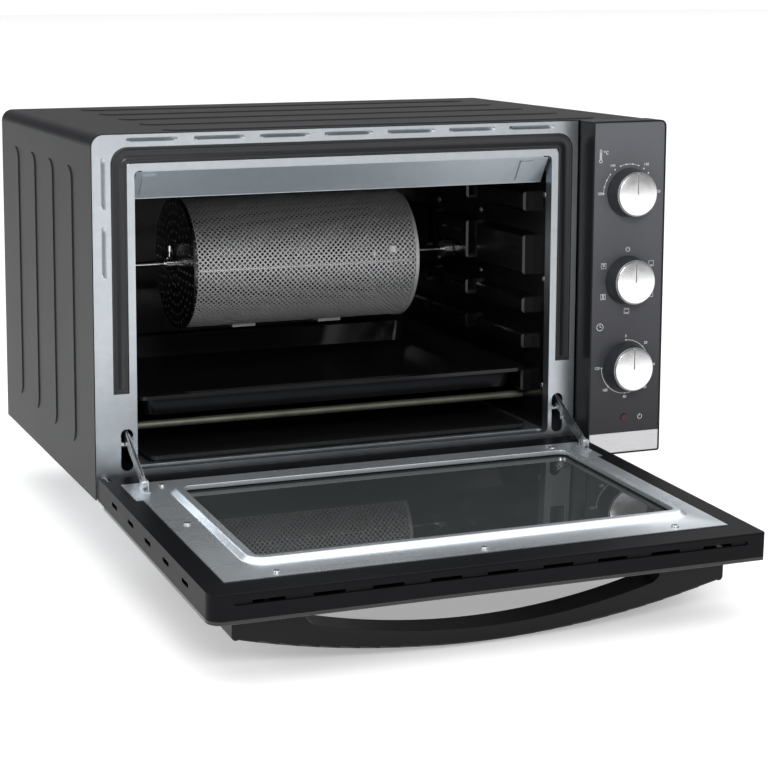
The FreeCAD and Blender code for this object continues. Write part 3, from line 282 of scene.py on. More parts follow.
# %% Material tools
class Signal:
    """A socket that can be used in sums."""

    def __init__(self, finish, socket):
        self.finish = finish
        self.socket = socket

    def _sum(self, operation, first, second):
        return self.finish.node("ShaderNodeMath", {"operation": operation}, {0: first, 1: second})

    def __add__(self, other):
        return self._sum("ADD", self, other)

    def __radd__(self, other):
        return self._sum("ADD", other, self)

    def __sub__(self, other):
        return self._sum("SUBTRACT", self, other)

    def __rsub__(self, other):
        return self._sum("SUBTRACT", other, self)

    def __mul__(self, other):
        return self._sum("MULTIPLY", self, other)

    def __rmul__(self, other):
        return self._sum("MULTIPLY", other, self)

    def __truediv__(self, other):
        return self._sum("DIVIDE", self, other)

    def __pow__(self, other):
        return self._sum("POWER", self, other)


class Finish:
    """One material and its nodes."""

    def __init__(self, name, **fixed):
        self.material = bpy.data.materials.new(name)
        self.material.use_nodes = True
        self.tree = self.material.node_tree
        self.shader = self.tree.nodes["Principled BSDF"]
        for socket, value in fixed.items():
            self.feed(self.shader.inputs[socket.replace("_", " ")], value)

    def feed(self, socket, value):
        if isinstance(value, Signal):
            self.tree.links.new(value.socket, socket)
        elif isinstance(value, tuple) and len(value) == 3 and socket.type == "RGBA":
            socket.default_value = (*value, 1)
        else:
            socket.default_value = value

    def node(self, kind, settings=None, inputs=None, output=0):
        node = self.tree.nodes.new(kind)
        for key, value in (settings or {}).items():
            if key == "stops":
                while len(node.color_ramp.elements) < len(value):
                    node.color_ramp.elements.new(0.5)
                for element, (position, colour) in zip(node.color_ramp.elements, value):
                    element.position = position
                    element.color = (*colour, 1)
            else:
                setattr(node, key, value)
        for key, value in (inputs or {}).items():
            self.feed(node.inputs[key], value)
        return Signal(self, node.outputs[output])

    def place(self, stretch=(1, 1, 1), shift=(0, 0, 0)):
        """Object coordinates, in metres, moved and stretched."""
        here = self.node("ShaderNodeTexCoord", output="Object")
        return self.node("ShaderNodeMapping", {}, {"Vector": here, "Scale": stretch, "Location": shift})

    def noise(self, scale, detail=3.0, stretch=(1, 1, 1)):
        return self.node("ShaderNodeTexNoise", {},
                         {"Vector": self.place(stretch), "Scale": scale, "Detail": detail})

    def mix(self, factor, first, second):
        """A colour between two colours."""
        return self.node("ShaderNodeMix", {"data_type": "RGBA"}, {0: factor, 6: first, 7: second}, 2)

    def colour(self, value):
        self.feed(self.shader.inputs["Base Color"], value)

    def roughness(self, value):
        self.feed(self.shader.inputs["Roughness"], value)

    def bump(self, height, depth):
        """Surface relief: a height from 0 to 1 that stands for a depth in metres."""
        relief = self.node("ShaderNodeBump", {}, {"Height": height, "Distance": depth, "Strength": 1.0})
        self.feed(self.shader.inputs["Normal"], relief)


def grained(name, dark, light, rough, swing, grain, relief, depth, stretch=(1, 1, 1), **fixed):
    """A finish with a slow change of colour, a finer change of gloss and a fine relief."""
    finish = Finish(name, **fixed)
    slow = finish.noise(grain, 4.0, stretch)
    fine = finish.noise(relief, 2.0, stretch)
    finish.colour(finish.mix(slow, dark, light))
    finish.roughness(rough - swing + (slow + fine) * swing)
    finish.bump(fine, depth)
    return finish

# %% [markdown]
# ## Metals
# The front sheet, the door's inner plate and the brackets are galvanised steel: bright, a little blue,
# with faint crystals and a rolled grain. A Voronoi cell pattern gives the crystals, and a noise that
# is stretched along one axis gives the rolling marks. The trims are brushed the same way, only harder,
# and the drum is plain bright steel. Its left end is the same steel with a painted shade: it is
# coloured nearly black to stand for the dark cavity that it reflects.

# %% Metals
def galvanised(name, dark, light, rough, stretch=(1, 1, 18), metallic=1.0):
    finish = Finish(name, Metallic=metallic)
    crystals = finish.node("ShaderNodeTexVoronoi", {}, {"Vector": finish.place(), "Scale": 160.0}, "Color")
    cells = finish.node("ShaderNodeSeparateColor", {}, {"Color": crystals})
    rolled = finish.noise(60.0, 3.0, stretch)
    clouds = finish.noise(7.0, 2.0)
    finish.colour(finish.mix(cells * 0.18 + rolled * 0.3 + clouds * 0.5, dark, light))
    finish.roughness(rough - 0.06 + rolled * 0.08 + clouds * 0.06)
    finish.bump(rolled, 0.000004)
    return finish


front_sheet = galvanised("galvanised_front", (0.42, 0.45, 0.48), (0.58, 0.62, 0.65), 0.33, (1, 1, 0.1))
door_sheet = galvanised("galvanised_door_plate", (0.62, 0.67, 0.71), (0.76, 0.81, 0.85), 0.27,
                        (0.1, 1, 1), 0.82)
hidden_sheet = galvanised("galvanised_inside", (0.42, 0.45, 0.47), (0.60, 0.63, 0.65), 0.38)
dull_sheet = galvanised("deflector_steel", (0.44, 0.49, 0.53), (0.56, 0.61, 0.65), 0.44, (0.1, 1, 1))
drum_metal = galvanised("drum_steel", (0.46, 0.46, 0.47), (0.62, 0.62, 0.62), 0.46, (0.3, 1, 1), 0.5)
# painted shade: the drum's left end is steel coloured nearly black, standing for the dark cavity it reflects
drum_end_painted_dark = galvanised("drum_end_steel", (0.05, 0.05, 0.052), (0.10, 0.10, 0.105), 0.30)
zinc_plate = grained("zinc_plated", (0.45, 0.46, 0.48), (0.70, 0.71, 0.73), 0.28, 0.05, 90.0, 700.0,
                     0.00001, Metallic=1.0)
plated_rod = grained("plated_rod", (0.55, 0.55, 0.56), (0.75, 0.75, 0.76), 0.16, 0.04, 60.0, 500.0,
                     0.000008, (1, 12, 12), Metallic=1.0)
heater_tube = grained("heater_tube", (0.13, 0.13, 0.10), (0.30, 0.30, 0.25), 0.48, 0.08, 45.0, 900.0,
                      0.00003, (1, 1, 1), Metallic=0.8)
brushed_trim = grained("brushed_trim", (0.46, 0.46, 0.47), (0.64, 0.64, 0.65), 0.34, 0.05, 40.0, 900.0,
                       0.000012, (1, 1, 40), Metallic=1.0)

# %% [markdown]
# ## Paint, enamel, plastic and rubber
# The shell has a satin charcoal paint with a slight orange peel. The cavity is enamel, which is
# glassy, so it has a low roughness and a very shallow, broad relief. The mouldings are dark plastic
# with a fine spark texture, and the seal and foot pads are matt rubber. All are nearly black, so what
# tells them apart is their gloss, not their colour.

# %% Dark finishes
shell_paint = grained("charcoal_paint", (0.008, 0.0083, 0.010), (0.012, 0.0124, 0.0145), 0.42, 0.05, 9.0,
                      1100.0, 0.000006, Specular_IOR_Level=0.12)
cavity_enamel = grained("cavity_enamel", (0.0025, 0.0025, 0.003), (0.005, 0.005, 0.006), 0.17, 0.04,
                        30.0, 260.0, 0.00001, Specular_IOR_Level=0.5)
tray_enamel = grained("tray_enamel", (0.004, 0.004, 0.0045), (0.009, 0.009, 0.010), 0.16, 0.04, 26.0,
                      300.0, 0.00001, Specular_IOR_Level=0.3)
crumb_steel = grained("crumb_tray_steel", (0.03, 0.03, 0.03), (0.06, 0.06, 0.058), 0.34, 0.05, 30.0,
                      600.0, 0.00001, (1, 20, 1), Metallic=0.8)
door_paint = grained("door_paint", (0.003, 0.003, 0.004), (0.0045, 0.0045, 0.0055), 0.40, 0.05, 12.0,
                     1200.0, 0.000006, Specular_IOR_Level=0.09)
panel_plastic = grained("panel_plastic", (0.004, 0.0045, 0.005), (0.007, 0.0075, 0.008), 0.30, 0.04,
                        14.0, 1500.0, 0.00001, Specular_IOR_Level=0.22)
handle_plastic = grained("handle_plastic", (0.005, 0.005, 0.006), (0.008, 0.008, 0.009), 0.38, 0.05,
                         10.0, 1500.0, 0.00001, Specular_IOR_Level=0.18)
knob_plastic = grained("knob_plastic", (0.026, 0.029, 0.032), (0.036, 0.040, 0.044), 0.30, 0.04, 20.0,
                       1500.0, 0.00001, Specular_IOR_Level=0.3)
foot_plastic = grained("foot_plastic", (0.008, 0.008, 0.008), (0.014, 0.014, 0.014), 0.5, 0.06, 12.0,
                       1200.0, 0.00003)
rubber = grained("rubber", (0.006, 0.0065, 0.008), (0.010, 0.0105, 0.013), 0.34, 0.06, 25.0, 900.0,
                 0.00001, Specular_IOR_Level=0.5)
pale_plastic = grained("inner_plastic", (0.55, 0.52, 0.45), (0.66, 0.63, 0.56), 0.45, 0.05, 12.0,
                       900.0, 0.00002)
ceramic = grained("ceramic", (0.62, 0.60, 0.55), (0.74, 0.72, 0.67), 0.6, 0.05, 30.0, 900.0, 0.00003)

# %% [markdown]
# ## Fascia, glass and lens
# The fascia is a smooth dark film with painted light on it: its colour is lighter at the top than at
# the bottom and follows height between the fascia's own two ends. The panes are dark glass: the inner
# one is clear and thin to look through, the outer one is printed nearly black. The lamp's lens is a
# deep red that looks almost black while it is off.

# %% Fascia, glass and lens
fascia_low, fascia_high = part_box("control_fascia")
fascia_film = Finish("fascia_film", Specular_IOR_Level=0.2)
height = fascia_film.node("ShaderNodeSeparateXYZ", {},
                          {"Vector": fascia_film.node("ShaderNodeTexCoord", output="Object")}, "Z")
# painted light: the fascia's colour grows lighter from its bottom to its top
painted_top_light = (height - fascia_low.z) / (fascia_high.z - fascia_low.z)
mottle = fascia_film.noise(900.0, 2.0)
fascia_film.colour(fascia_film.mix(painted_top_light + mottle * 0.04, (0.026, 0.026, 0.030), (0.115, 0.117, 0.130)))
fascia_film.roughness(0.26 + mottle * 0.08)
fascia_film.bump(mottle, 0.000008)

inner_glass = grained("inner_glass", (0.034, 0.038, 0.038), (0.044, 0.049, 0.049), 0.015, 0.004, 6.0,
                      12.0, 0.000002, IOR=1.60, Alpha=0.92)
outer_glass = grained("outer_glass", (0.004, 0.004, 0.0045), (0.007, 0.007, 0.008), 0.03, 0.008, 6.0,
                      12.0, 0.000004, IOR=1.52, Alpha=0.97)
red_lens = grained("red_lens", (0.02, 0.0008, 0.001), (0.05, 0.002, 0.003), 0.10, 0.03, 400.0, 900.0,
                   0.00002, Specular_IOR_Level=0.4)
white_print = grained("white_print", (0.72, 0.72, 0.72), (0.84, 0.84, 0.84), 0.5, 0.05, 500.0, 900.0,
                      0.000004)
groove_paint = grained("pointer_groove", (0.16, 0.16, 0.17), (0.26, 0.26, 0.27), 0.5, 0.05, 500.0,
                       900.0, 0.00001)


def spun_aluminium(name, centre):
    """Aluminium faced on a lathe: fine rings round the centre, which make the light fan out."""
    finish = Finish(name, Metallic=1.0)
    here = finish.place(shift=(-centre.x, 0, -centre.z))
    flat = finish.node("ShaderNodeVectorMath", {"operation": "MULTIPLY"}, {0: here, 1: (1, 0, 1)})
    radius = finish.node("ShaderNodeVectorMath", {"operation": "LENGTH"}, {0: flat}, "Value")
    rings = finish.node("ShaderNodeMath", {"operation": "SINE"}, {0: radius * 21000.0})
    uneven = finish.node("ShaderNodeTexNoise", {"noise_dimensions": "1D"},
                         {"W": radius * 3000.0, "Detail": 2.0})
    finish.colour(finish.mix(uneven, (0.84, 0.84, 0.85), (0.97, 0.97, 0.98)))
    finish.roughness(0.20 + uneven * 0.12)
    finish.bump(rings * 0.3 + uneven, 0.00002)
    return finish


# %% [markdown]
# ## Finishes for the pieces that keep their CAD shape
# A CAD node whose shape is right only needs a better material in its slot. The list below goes through
# the oven from the outside in. The object and its mesh stay untouched.

# %% Dress the CAD nodes
dressing = {
    shell_paint: ["outer_shell"],
    front_sheet: ["front_frame"],
    hidden_sheet: ["base_plate", "rear_cover", "cavity_floor", "heat_shield", "control_bracket",
                   "rotisserie_motor", "spit_support", "pivot_lugs", "guide_brackets"],
    dull_sheet: ["heat_deflector"],
    door_sheet: ["door_inner_plate", "hinge_brackets"],
    zinc_plate: ["rear_screws", "foot_screws", "cavity_rivets", "guide_rollers", "left_hinge_arm",
                 "right_hinge_arm", "door_hardware", "hinge_pins", "drive_socket"],
    plated_rod: ["spit_rod", "spit_collars", "thumb_screws"],
    drum_metal: ["drum_basket", "drum_right_end", "drum_latches"],
    drum_end_painted_dark: ["drum_left_end"],
    # painted shade: the drum's left end is coloured nearly black
    heater_tube: ["lower_heaters", "upper_heaters"],
    ceramic: ["heater_insulators"],
    cavity_enamel: ["cavity_left_wall", "cavity_right_wall", "cavity_back", "cavity_roof"],
    tray_enamel: ["baking_tray"],
    crumb_steel: ["crumb_tray"],
    door_paint: ["door_frame"],
    panel_plastic: ["control_housing", "cable_gland"],
    handle_plastic: ["door_handle"],
    knob_plastic: ["temperature_knob", "mode_knob", "timer_knob"],
    foot_plastic: ["feet"],
    rubber: ["door_seal", "foot_pads"],
    pale_plastic: ["terminal_block", "lamp_holder", "thermostat", "mode_switch", "timer"],
    fascia_film: ["control_fascia"],
    brushed_trim: ["panel_trim", "door_trim"],
    inner_glass: ["door_inner_glass"],
    outer_glass: ["door_outer_glass"],
    red_lens: ["lamp_lens"],
}
for finish, nodes in dressing.items():
    for name in nodes:
        slots = frame["nodes"][name].data.materials
        slots.clear()
        slots.append(finish.material)
bare = set(frame["nodes"]) - {name for nodes in dressing.values() for name in nodes}
print("CAD nodes without a finish:", sorted(bare))

# %% [markdown]
# ## The drum's perforated sheet
# The basket is one sheet of steel with small staggered holes, rolled into a tube. Painting the holes
# on would fail where one looks through both walls, so they are cut. The tube is divided into a grid,
# each square is poked, and the old grid lines are dissolved, which leaves lozenges. Each lozenge is
# inset, its middle is deleted, and Solidify gives the sheet its thickness.

# %% Drum basket
HOLES_AROUND, HOLES_ALONG = 74, 44
WEB = 0.62 * MM

low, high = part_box("drum_basket")
drum_centre = (low + high) / 2
drum_radius = (high.z - low.z) / 2
drum_end_radius = (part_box("drum_left_end")[1].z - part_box("drum_left_end")[0].z) / 2
deselect_everything()
bpy.ops.mesh.primitive_cylinder_add(vertices=HOLES_AROUND, radius=drum_radius, depth=high.x - low.x,
                                    end_fill_type="NOTHING", location=drum_centre,
                                    rotation=(0, math.radians(90), 0))
basket = bpy.context.object
basket.name = "drum_perforated_sheet"
apply_place(basket)
open_mesh(basket)
pick("edges", lambda edge: abs(edge.verts[0].co.x - edge.verts[1].co.x) > 0.1)
bpy.ops.mesh.subdivide(number_cuts=HOLES_ALONG - 1)
grid_points = len(bmesh.from_edit_mesh(basket.data).verts)
bpy.ops.mesh.select_all(action="SELECT")
bpy.ops.mesh.poke()
pick("edges", lambda edge: edge.verts[0].index < grid_points and edge.verts[1].index < grid_points
     and len(edge.link_faces) == 2)
bpy.ops.mesh.dissolve_edges(use_verts=False)
pick("faces", lambda face: len(face.verts) == 4)
bpy.ops.mesh.inset(thickness=WEB, use_individual=True)
bpy.ops.mesh.delete(type="FACE")
bpy.ops.mesh.select_all(action="SELECT")
bpy.ops.mesh.normals_make_consistent(inside=False)
close_mesh()
add_modifier(basket, "SOLIDIFY", thickness=0.8 * MM, offset=-1)
fit(basket, drum_metal.material, "rotisserie", "drum_steel", "drum_basket")

# %% [markdown]
# ## The drum's seam and clasp
# The tube closes along its front with a narrow strip, and a small wire clasp near the right end holds
# its lid. The strip is a long box whose long edges are beveled; the clasp is an upright box with its
# middle pressed in.

# %% Drum seam and clasp
def small_bar(name, low, high, bevel, inset=0.0, sink=0.0):
    """A bar with softened edges and, if wanted, a sunk field on its front."""
    deselect_everything()
    bpy.ops.mesh.primitive_cube_add(size=1, location=(Vector(low) + Vector(high)) / 2)
    bar = bpy.context.object
    bar.name = name
    bar.scale = Vector(high) - Vector(low)
    apply_place(bar)
    open_mesh(bar)
    if inset:
        pick("faces", lambda face: face.normal.y < -0.9)
        bpy.ops.mesh.inset(thickness=inset, depth=-sink)
    pick("edges", lambda edge: edge.calc_face_angle(0) > 0.5)
    bpy.ops.mesh.bevel(offset=bevel, segments=2, clamp_overlap=True)
    close_mesh()
    return bar


seam_y = drum_centre.y - drum_radius
seam = small_bar("drum_seam", (low.x + 5 * MM, seam_y - 0.5 * MM, drum_centre.z - 0.6 * MM),
                 (high.x - 5 * MM, seam_y + 0.6 * MM, drum_centre.z + 0.6 * MM), 0.15 * MM)
clasp = joined("drum_clasp", [
    small_bar("clasp_plate", (high.x - 34 * MM, seam_y - 0.1 * MM, drum_centre.z + 9 * MM),
              (high.x - 26 * MM, seam_y + 2.4 * MM, drum_centre.z + 17 * MM), 0.4 * MM, 1.2 * MM, 0.8 * MM),
    small_bar("clasp_hook", (high.x - 52 * MM, seam_y - 0.3 * MM, drum_centre.z + 4 * MM),
              (high.x - 49 * MM, seam_y + 1.6 * MM, drum_centre.z + 12 * MM), 0.4 * MM)])
deselect_everything()
bpy.ops.mesh.primitive_cylinder_add(vertices=96, radius=drum_end_radius, depth=2.4 * MM,
                                    end_fill_type="NOTHING", rotation=(0, math.radians(90), 0),
                                    location=(low.x + 1.6 * MM, drum_centre.y, drum_centre.z))
rim = bpy.context.object
rim.name = "drum_left_rim"
apply_place(rim)
add_modifier(rim, "SOLIDIFY", thickness=0.9 * MM, offset=-1)
add_modifier(rim, "BEVEL", width=0.3 * MM, segments=2, limit_method="ANGLE")
for piece in (seam, clasp, rim):
    smooth(piece)
    fit(piece, drum_metal.material, "rotisserie", "drum_steel")

# %% [markdown]
# ## The front's pressed vents
# Each slot in the front sheet is really a tongue: the sheet is cut along one long side and pressed in,
# so a sloping strip of bright metal fills the slot. One tongue is a plane divided into a small grid;
# its rows go back further the nearer they are to the cut side, and its ends stay shut. The slots in
# the top row are hinged along their lower edge and the two at the left along their right edge.

# %% Vent tongues
frame_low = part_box("front_frame")[0]
TONGUE_LENGTH, TONGUE_DEPTH = 49.6 * MM, 3.2 * MM


def tongue(name, width):
    """A pressed tongue round the origin, lying along X and hinged at its lower edge."""
    strip = plate_outline(name, 0, 0, 0, TONGUE_LENGTH, width)
    open_mesh(strip)
    pick("edges", lambda edge: abs(edge.verts[0].co.z - edge.verts[1].co.z) < 1e-6)
    bpy.ops.mesh.subdivide(number_cuts=23)
    pick("edges", lambda edge: abs(edge.verts[0].co.x - edge.verts[1].co.x) < 1e-6)
    bpy.ops.mesh.subdivide(number_cuts=5)
    for vertex in bmesh.from_edit_mesh(strip.data).verts:
        up = vertex.co.z / width + 0.5
        along = min(1, (TONGUE_LENGTH / 2 - abs(vertex.co.x)) / (5 * MM))
        vertex.co.y += TONGUE_DEPTH * math.sin(up * math.pi / 2) * math.sin(along * math.pi / 2)
    bmesh.update_edit_mesh(strip.data)
    close_mesh()
    return strip


first = tongue("first_tongue", 4.0 * MM)
tongues = []
for n in range(7):
    tongues.append(copied(first, "top_tongue", Vector((-0.236 + n * 0.0657, frame_low.y + 0.3 * MM,
                                                       0.411 - 6.0 * MM))))
bpy.data.objects.remove(first)
first = tongue("first_tongue", 4.8 * MM)
first.rotation_euler = (0, math.radians(-90), 0)
apply_place(first)
for z in (0.2755 + 0.02475, 0.3395 + 0.02475):
    tongues.append(copied(first, "side_tongue", Vector((-0.295 + 11.4 * MM, frame_low.y + 0.3 * MM, z))))
bpy.data.objects.remove(first)
vents = joined("front_vent_tongues", tongues)
add_modifier(vents, "SOLIDIFY", thickness=0.5 * MM, offset=-1)
smooth(vents, 50)
fit(vents, front_sheet.material, "cabinet", "zinc_sheet")

# %% [markdown]
# ## The door seal
# A soft black seal runs round the sides and top of the opening. It is a hollow rubber band with a bead
# at its inner edge and a shallow valley along its middle. It starts as one rounded rectangle, taller
# than it needs to be; its middle is deleted, and a cut at the foot height removes the lower run. Then
# the band is inset in small steps, out for the bead and in for the valley.

# %% Door seal
seal_low, seal_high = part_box("door_seal")
band = 15.6 * MM
seal_bottom = seal_low.z - 60 * MM
seal = plate_outline("door_seal_band", (seal_low.x + seal_high.x) / 2, frame_low.y + 0.2 * MM,
                     (seal_bottom + seal_high.z) / 2, seal_high.x - seal_low.x,
                     seal_high.z - seal_bottom, 16 * MM)
open_mesh(seal)
bpy.ops.mesh.select_all(action="SELECT")
bpy.ops.mesh.inset(thickness=band)
bpy.ops.mesh.delete(type="FACE")
bpy.ops.mesh.select_all(action="SELECT")
bpy.ops.mesh.bisect(plane_co=(0, 0, seal_low.z), plane_no=(0, 0, 1), clear_inner=True)
bpy.ops.mesh.select_all(action="SELECT")
inset_steps([(0.1 * MM, 0.7 * MM), (0.5 * MM, 0.6 * MM), (0.8 * MM, 0.2 * MM), (0.8 * MM, -0.1 * MM),
             (0.7 * MM, -0.6 * MM), (1.6 * MM, 0), (0.6 * MM, -0.35 * MM)])
close_mesh()
add_modifier(seal, "SOLIDIFY", thickness=1.0 * MM, offset=-1)
smooth(seal, 40)
fit(seal, rubber.material, "cabinet", "seal_rubber", "door_seal")

# %% [markdown]
# ## The door's inner plate
# One sheet closes the door's back and holds the inner glass. Round the glass it is drawn up into a
# rounded frame: a steep bright slope, a flat land, and a small step down to the pane. The raised ring
# is inset from the glass outline's own rounded rectangle, so that it runs evenly round the corners. The
# flat sheet round it is filled between two outlines, with wider feet where the hinges are.

# %% Door inner plate
glass_low, glass_high = shut_box("door_inner_glass")
grown = 1.5 * MM
sheet_y = plate_high.y - 4.55 * MM
ring = plate_outline("door_plate_sheet", (glass_low.x + glass_high.x) / 2, sheet_y,
                     (glass_low.z + glass_high.z) / 2, glass_high.x - glass_low.x + 2 * grown,
                     glass_high.z - glass_low.z + 2 * grown, 20 * MM, faces_back=True)
open_mesh(ring)
bpy.ops.mesh.select_all(action="SELECT")
inset_steps([(0.7 * MM, 0.12 * MM), (0.9 * MM, 0.6 * MM), (3.2 * MM, 2.9 * MM), (0.8 * MM, 0.55 * MM),
             (0.7 * MM, 0.28 * MM), (0.7 * MM, 0.10 * MM), (5.3 * MM, 0), (0.4 * MM, -0.25 * MM),
             (0.3 * MM, -1.0 * MM), (0.1 * MM, -2.6 * MM)])
bpy.ops.mesh.delete(type="FACE")
close_mesh()
tab, tab_top = 6.5 * MM, plate_low.z + 52 * MM
outline = plate_outline("outline", (plate_low.x + plate_high.x) / 2, sheet_y,
                        (plate_low.z + plate_high.z) / 2, plate_high.x - plate_low.x - 2 * tab,
                        plate_high.z - plate_low.z, faces_back=True)
open_mesh(outline)
bpy.ops.mesh.select_all(action="SELECT")
bpy.ops.mesh.bisect(plane_co=(0, sheet_y, tab_top), plane_no=(0, 0, 1))
for side, out in ((plate_low.x + tab, -tab), (plate_high.x - tab, tab)):
    pick("edges", lambda edge: abs(middle(edge).x - side) < 1e-5 and middle(edge).z < tab_top - 1e-5)
    bpy.ops.mesh.extrude_region_move(TRANSFORM_OT_translate={"value": (out, 0, 0)})
pick("faces", lambda face: True)
bpy.ops.mesh.dissolve_faces()
bpy.ops.mesh.delete(type="ONLY_FACE")
close_mesh()
ring = joined("door_plate_sheet", [ring, outline])
open_mesh(ring)
pick("edges", lambda edge: len(edge.link_faces) == 0
     or (edge.is_boundary and abs(edge.verts[0].co.y - sheet_y) < 1e-5))
bpy.ops.mesh.fill(use_beauty=True)
bpy.ops.mesh.select_all(action="SELECT")
bpy.ops.mesh.normals_make_consistent(inside=False)
mesh = bmesh.from_edit_mesh(ring.data)
flat = max(mesh.faces, key=lambda face: face.calc_area())
if flat.normal.y < 0:
    bpy.ops.mesh.flip_normals()
close_mesh()
add_modifier(ring, "SOLIDIFY", thickness=0.7 * MM, offset=-1)
open_with_door(ring)
smooth(ring, 30)
fit(ring, door_sheet.material, "door", "zinc_sheet", "door_inner_plate")

# %% [markdown]
# ## The knobs
# Each knob is a black moulded skirt with a thin bright ring at its rim and a spun aluminium cap, whose
# pointer is a straight groove from the middle to the rim. Skirt, ring and cap are turned sections. The
# groove is cut with a long thin block, and a grey strip lies in it.

# %% Knobs
fascia_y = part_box("control_fascia")[0].y
SKIRT = [(0, 0.6), (25.0, 0.6), (25.0, 1.4), (24.3, 6.0), (22.9, 15.3), (22.6, 16.0), (22.1, 16.3),
         (21.7, 15.9), (21.7, 14.6), (0, 14.6)]
RIM = [(21.95 + 0.3 * math.cos(a * math.tau / 12), 16.25 + 0.3 * math.sin(a * math.tau / 12))
       for a in range(13)]
CAP = [(0, 15.2), (21.2, 15.2), (21.2, 17.3), (21.0, 17.8), (20.4, 18.1), (0, 18.1)]


def in_metres(section):
    return [(r * MM, out * MM) for r, out in section]


for name, body in (("temperature_knob", "temperature_control"), ("mode_knob", "mode_control"),
                   ("timer_knob", "timer_control")):
    knob_low, knob_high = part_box(name)
    centre = Vector(((knob_low.x + knob_high.x) / 2, fascia_y, (knob_low.z + knob_high.z) / 2))
    skirt = turned(name + "_skirt", in_metres(SKIRT), centre, 96)
    rim = turned(name + "_rim", in_metres(RIM), centre, 96)
    cap = turned(name + "_cap", in_metres(CAP), centre, 96)
    groove = small_bar("groove", (centre.x - 0.8 * MM, fascia_y - 19 * MM, centre.z),
                       (centre.x + 0.8 * MM, fascia_y - 17.6 * MM, centre.z + 22 * MM), 0.05 * MM)
    add_modifier(cap, "BOOLEAN", object=groove, operation="DIFFERENCE", solver="EXACT")
    bpy.data.objects.remove(groove)
    pointer = small_bar(name + "_pointer", (centre.x - 0.75 * MM, fascia_y - 17.75 * MM, centre.z + 0.3 * MM),
                        (centre.x + 0.75 * MM, fascia_y - 17.3 * MM, centre.z + 20.6 * MM), 0.1 * MM)
    for piece in (skirt, rim, cap, pointer):
        smooth(piece, 35)
    fit(skirt, knob_plastic.material, body, "knob", name)
    fit(rim, brushed_trim.material, body, "knob")
    fit(cap, spun_aluminium(name + "_spun", centre).material, body, "knob")
    fit(pointer, groove_paint.material, body, "knob")

# %% [markdown]
# ## The dial print
# The marks are a very thin layer of pale ink on the fascia: dots, arcs, numbers and small pictures. An
# angle of nought points straight up and grows clockwise, as on the real dials. Each mark is a flat
# mesh; all marks become one piece that is given the thickness of the ink.

# %% Dial print
INK_Y = fascia_y - 0.06 * MM
ink = []


def flat_polygon(name, points, width):
    """A closed or open line of a given width: its outline is a flat filled curve, made a mesh."""
    closed = math.dist(points[0], points[-1]) < 0.001 * MM
    left, right = [], []
    for n, (x, z) in enumerate(points):
        before, after = points[max(n - 1, 0)], points[min(n + 1, len(points) - 1)]
        if closed and n in (0, len(points) - 1):
            before, after = points[-2], points[1]
        run = Vector((after[0] - before[0], after[1] - before[1])).normalized() * width / 2
        left.append((x - run.y, z + run.x))
        right.append((x + run.y, z - run.x))
    drawing = bpy.data.curves.new(name, "CURVE")
    drawing.dimensions = "2D"
    drawing.fill_mode = "BOTH"
    for outline in [left[:-1], right[:-1]] if closed else [left + right[::-1]]:
        spline = drawing.splines.new("POLY")
        spline.points.add(len(outline) - 1)
        for point, (x, z) in zip(spline.points, outline):
            point.co = (x, z, 0, 1)
        spline.use_cyclic_u = True
    piece = bpy.data.objects.new(name, drawing)
    bpy.context.scene.collection.objects.link(piece)
    piece.location = (0, INK_Y, 0)
    piece.rotation_euler = (math.pi / 2, 0, 0)
    make_active(piece)
    bpy.ops.object.convert(target="MESH")
    apply_place(piece)
    ink.append(piece)


def on_dial(centre, radius, degrees):
    turn = math.radians(degrees)
    return centre[0] + radius * math.sin(turn), centre[1] + radius * math.cos(turn)


def dot(place, radius):
    deselect_everything()
    bpy.ops.mesh.primitive_circle_add(vertices=20, radius=radius, fill_type="NGON",
                                      location=(place[0], INK_Y, place[1]), rotation=(math.pi / 2, 0, 0))
    apply_place(bpy.context.object)
    ink.append(bpy.context.object)


def arc(centre, radius, first_degrees, last_degrees, width, count=24):
    step = (last_degrees - first_degrees) / count
    flat_polygon("arc", [on_dial(centre, radius, first_degrees + n * step) for n in range(count + 1)], width)


def number(text, place, size):
    deselect_everything()
    bpy.ops.object.text_add(location=(place[0], INK_Y, place[1]), rotation=(math.pi / 2, 0, 0))
    words = bpy.context.object
    words.data.body = text
    words.data.size = size
    words.data.align_x, words.data.align_y = "CENTER", "CENTER"
    words.data.resolution_u = 4
    bpy.ops.object.convert(target="MESH")
    apply_place(bpy.context.object)
    ink.append(bpy.context.object)


def line(x, z, *points):
    flat_polygon("line", [(x + a * MM, z + b * MM) for a, b in points], 0.45 * MM)


dials = {}
for name in ("temperature_knob", "mode_knob", "timer_knob"):
    knob_low, knob_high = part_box(name)
    dials[name] = ((knob_low.x + knob_high.x) / 2, (knob_low.z + knob_high.z) / 2)

heat = dials["temperature_knob"]
step = 180 / 13
for n in range(14):
    dot(on_dial(heat, 29 * MM, -90 + n * step), 0.8 * MM)
arc(heat, 29 * MM, -90, -90 + 3 * step, 0.4 * MM)
arc(heat, 29 * MM, -90 + 5 * step, -90 + 8 * step, 0.4 * MM)
for text, degrees, radius in (("100", -90, 33), ("140", -34.6, 34), ("190", 34.6, 34), ("230", 90, 33.2)):
    number(text, on_dial(heat, radius * MM, degrees), 4.0 * MM)

time = dials["timer_knob"]
arc(time, 27.5 * MM, 0, 270, 0.4 * MM, 72)
for n in range(7):
    dot(on_dial(time, 27.5 * MM, n * 45), 0.8 * MM)
    number(str(n * 20), on_dial(time, (31.3 if n in (0, 4) else 32.6) * MM, n * 45), 4.0 * MM)
print(len(ink), "marks so far")

# %% [markdown]
# ## The pictures round the middle dial
# Six small pictures stand for the ways of heating: off, lower heat, upper heat, both, both with the
# drum turning, and upper heat with the drum. Each is a box outline with strokes in it. A thermometer,
# a clock face and a lamp mark stand beside the other dials and the lamp.

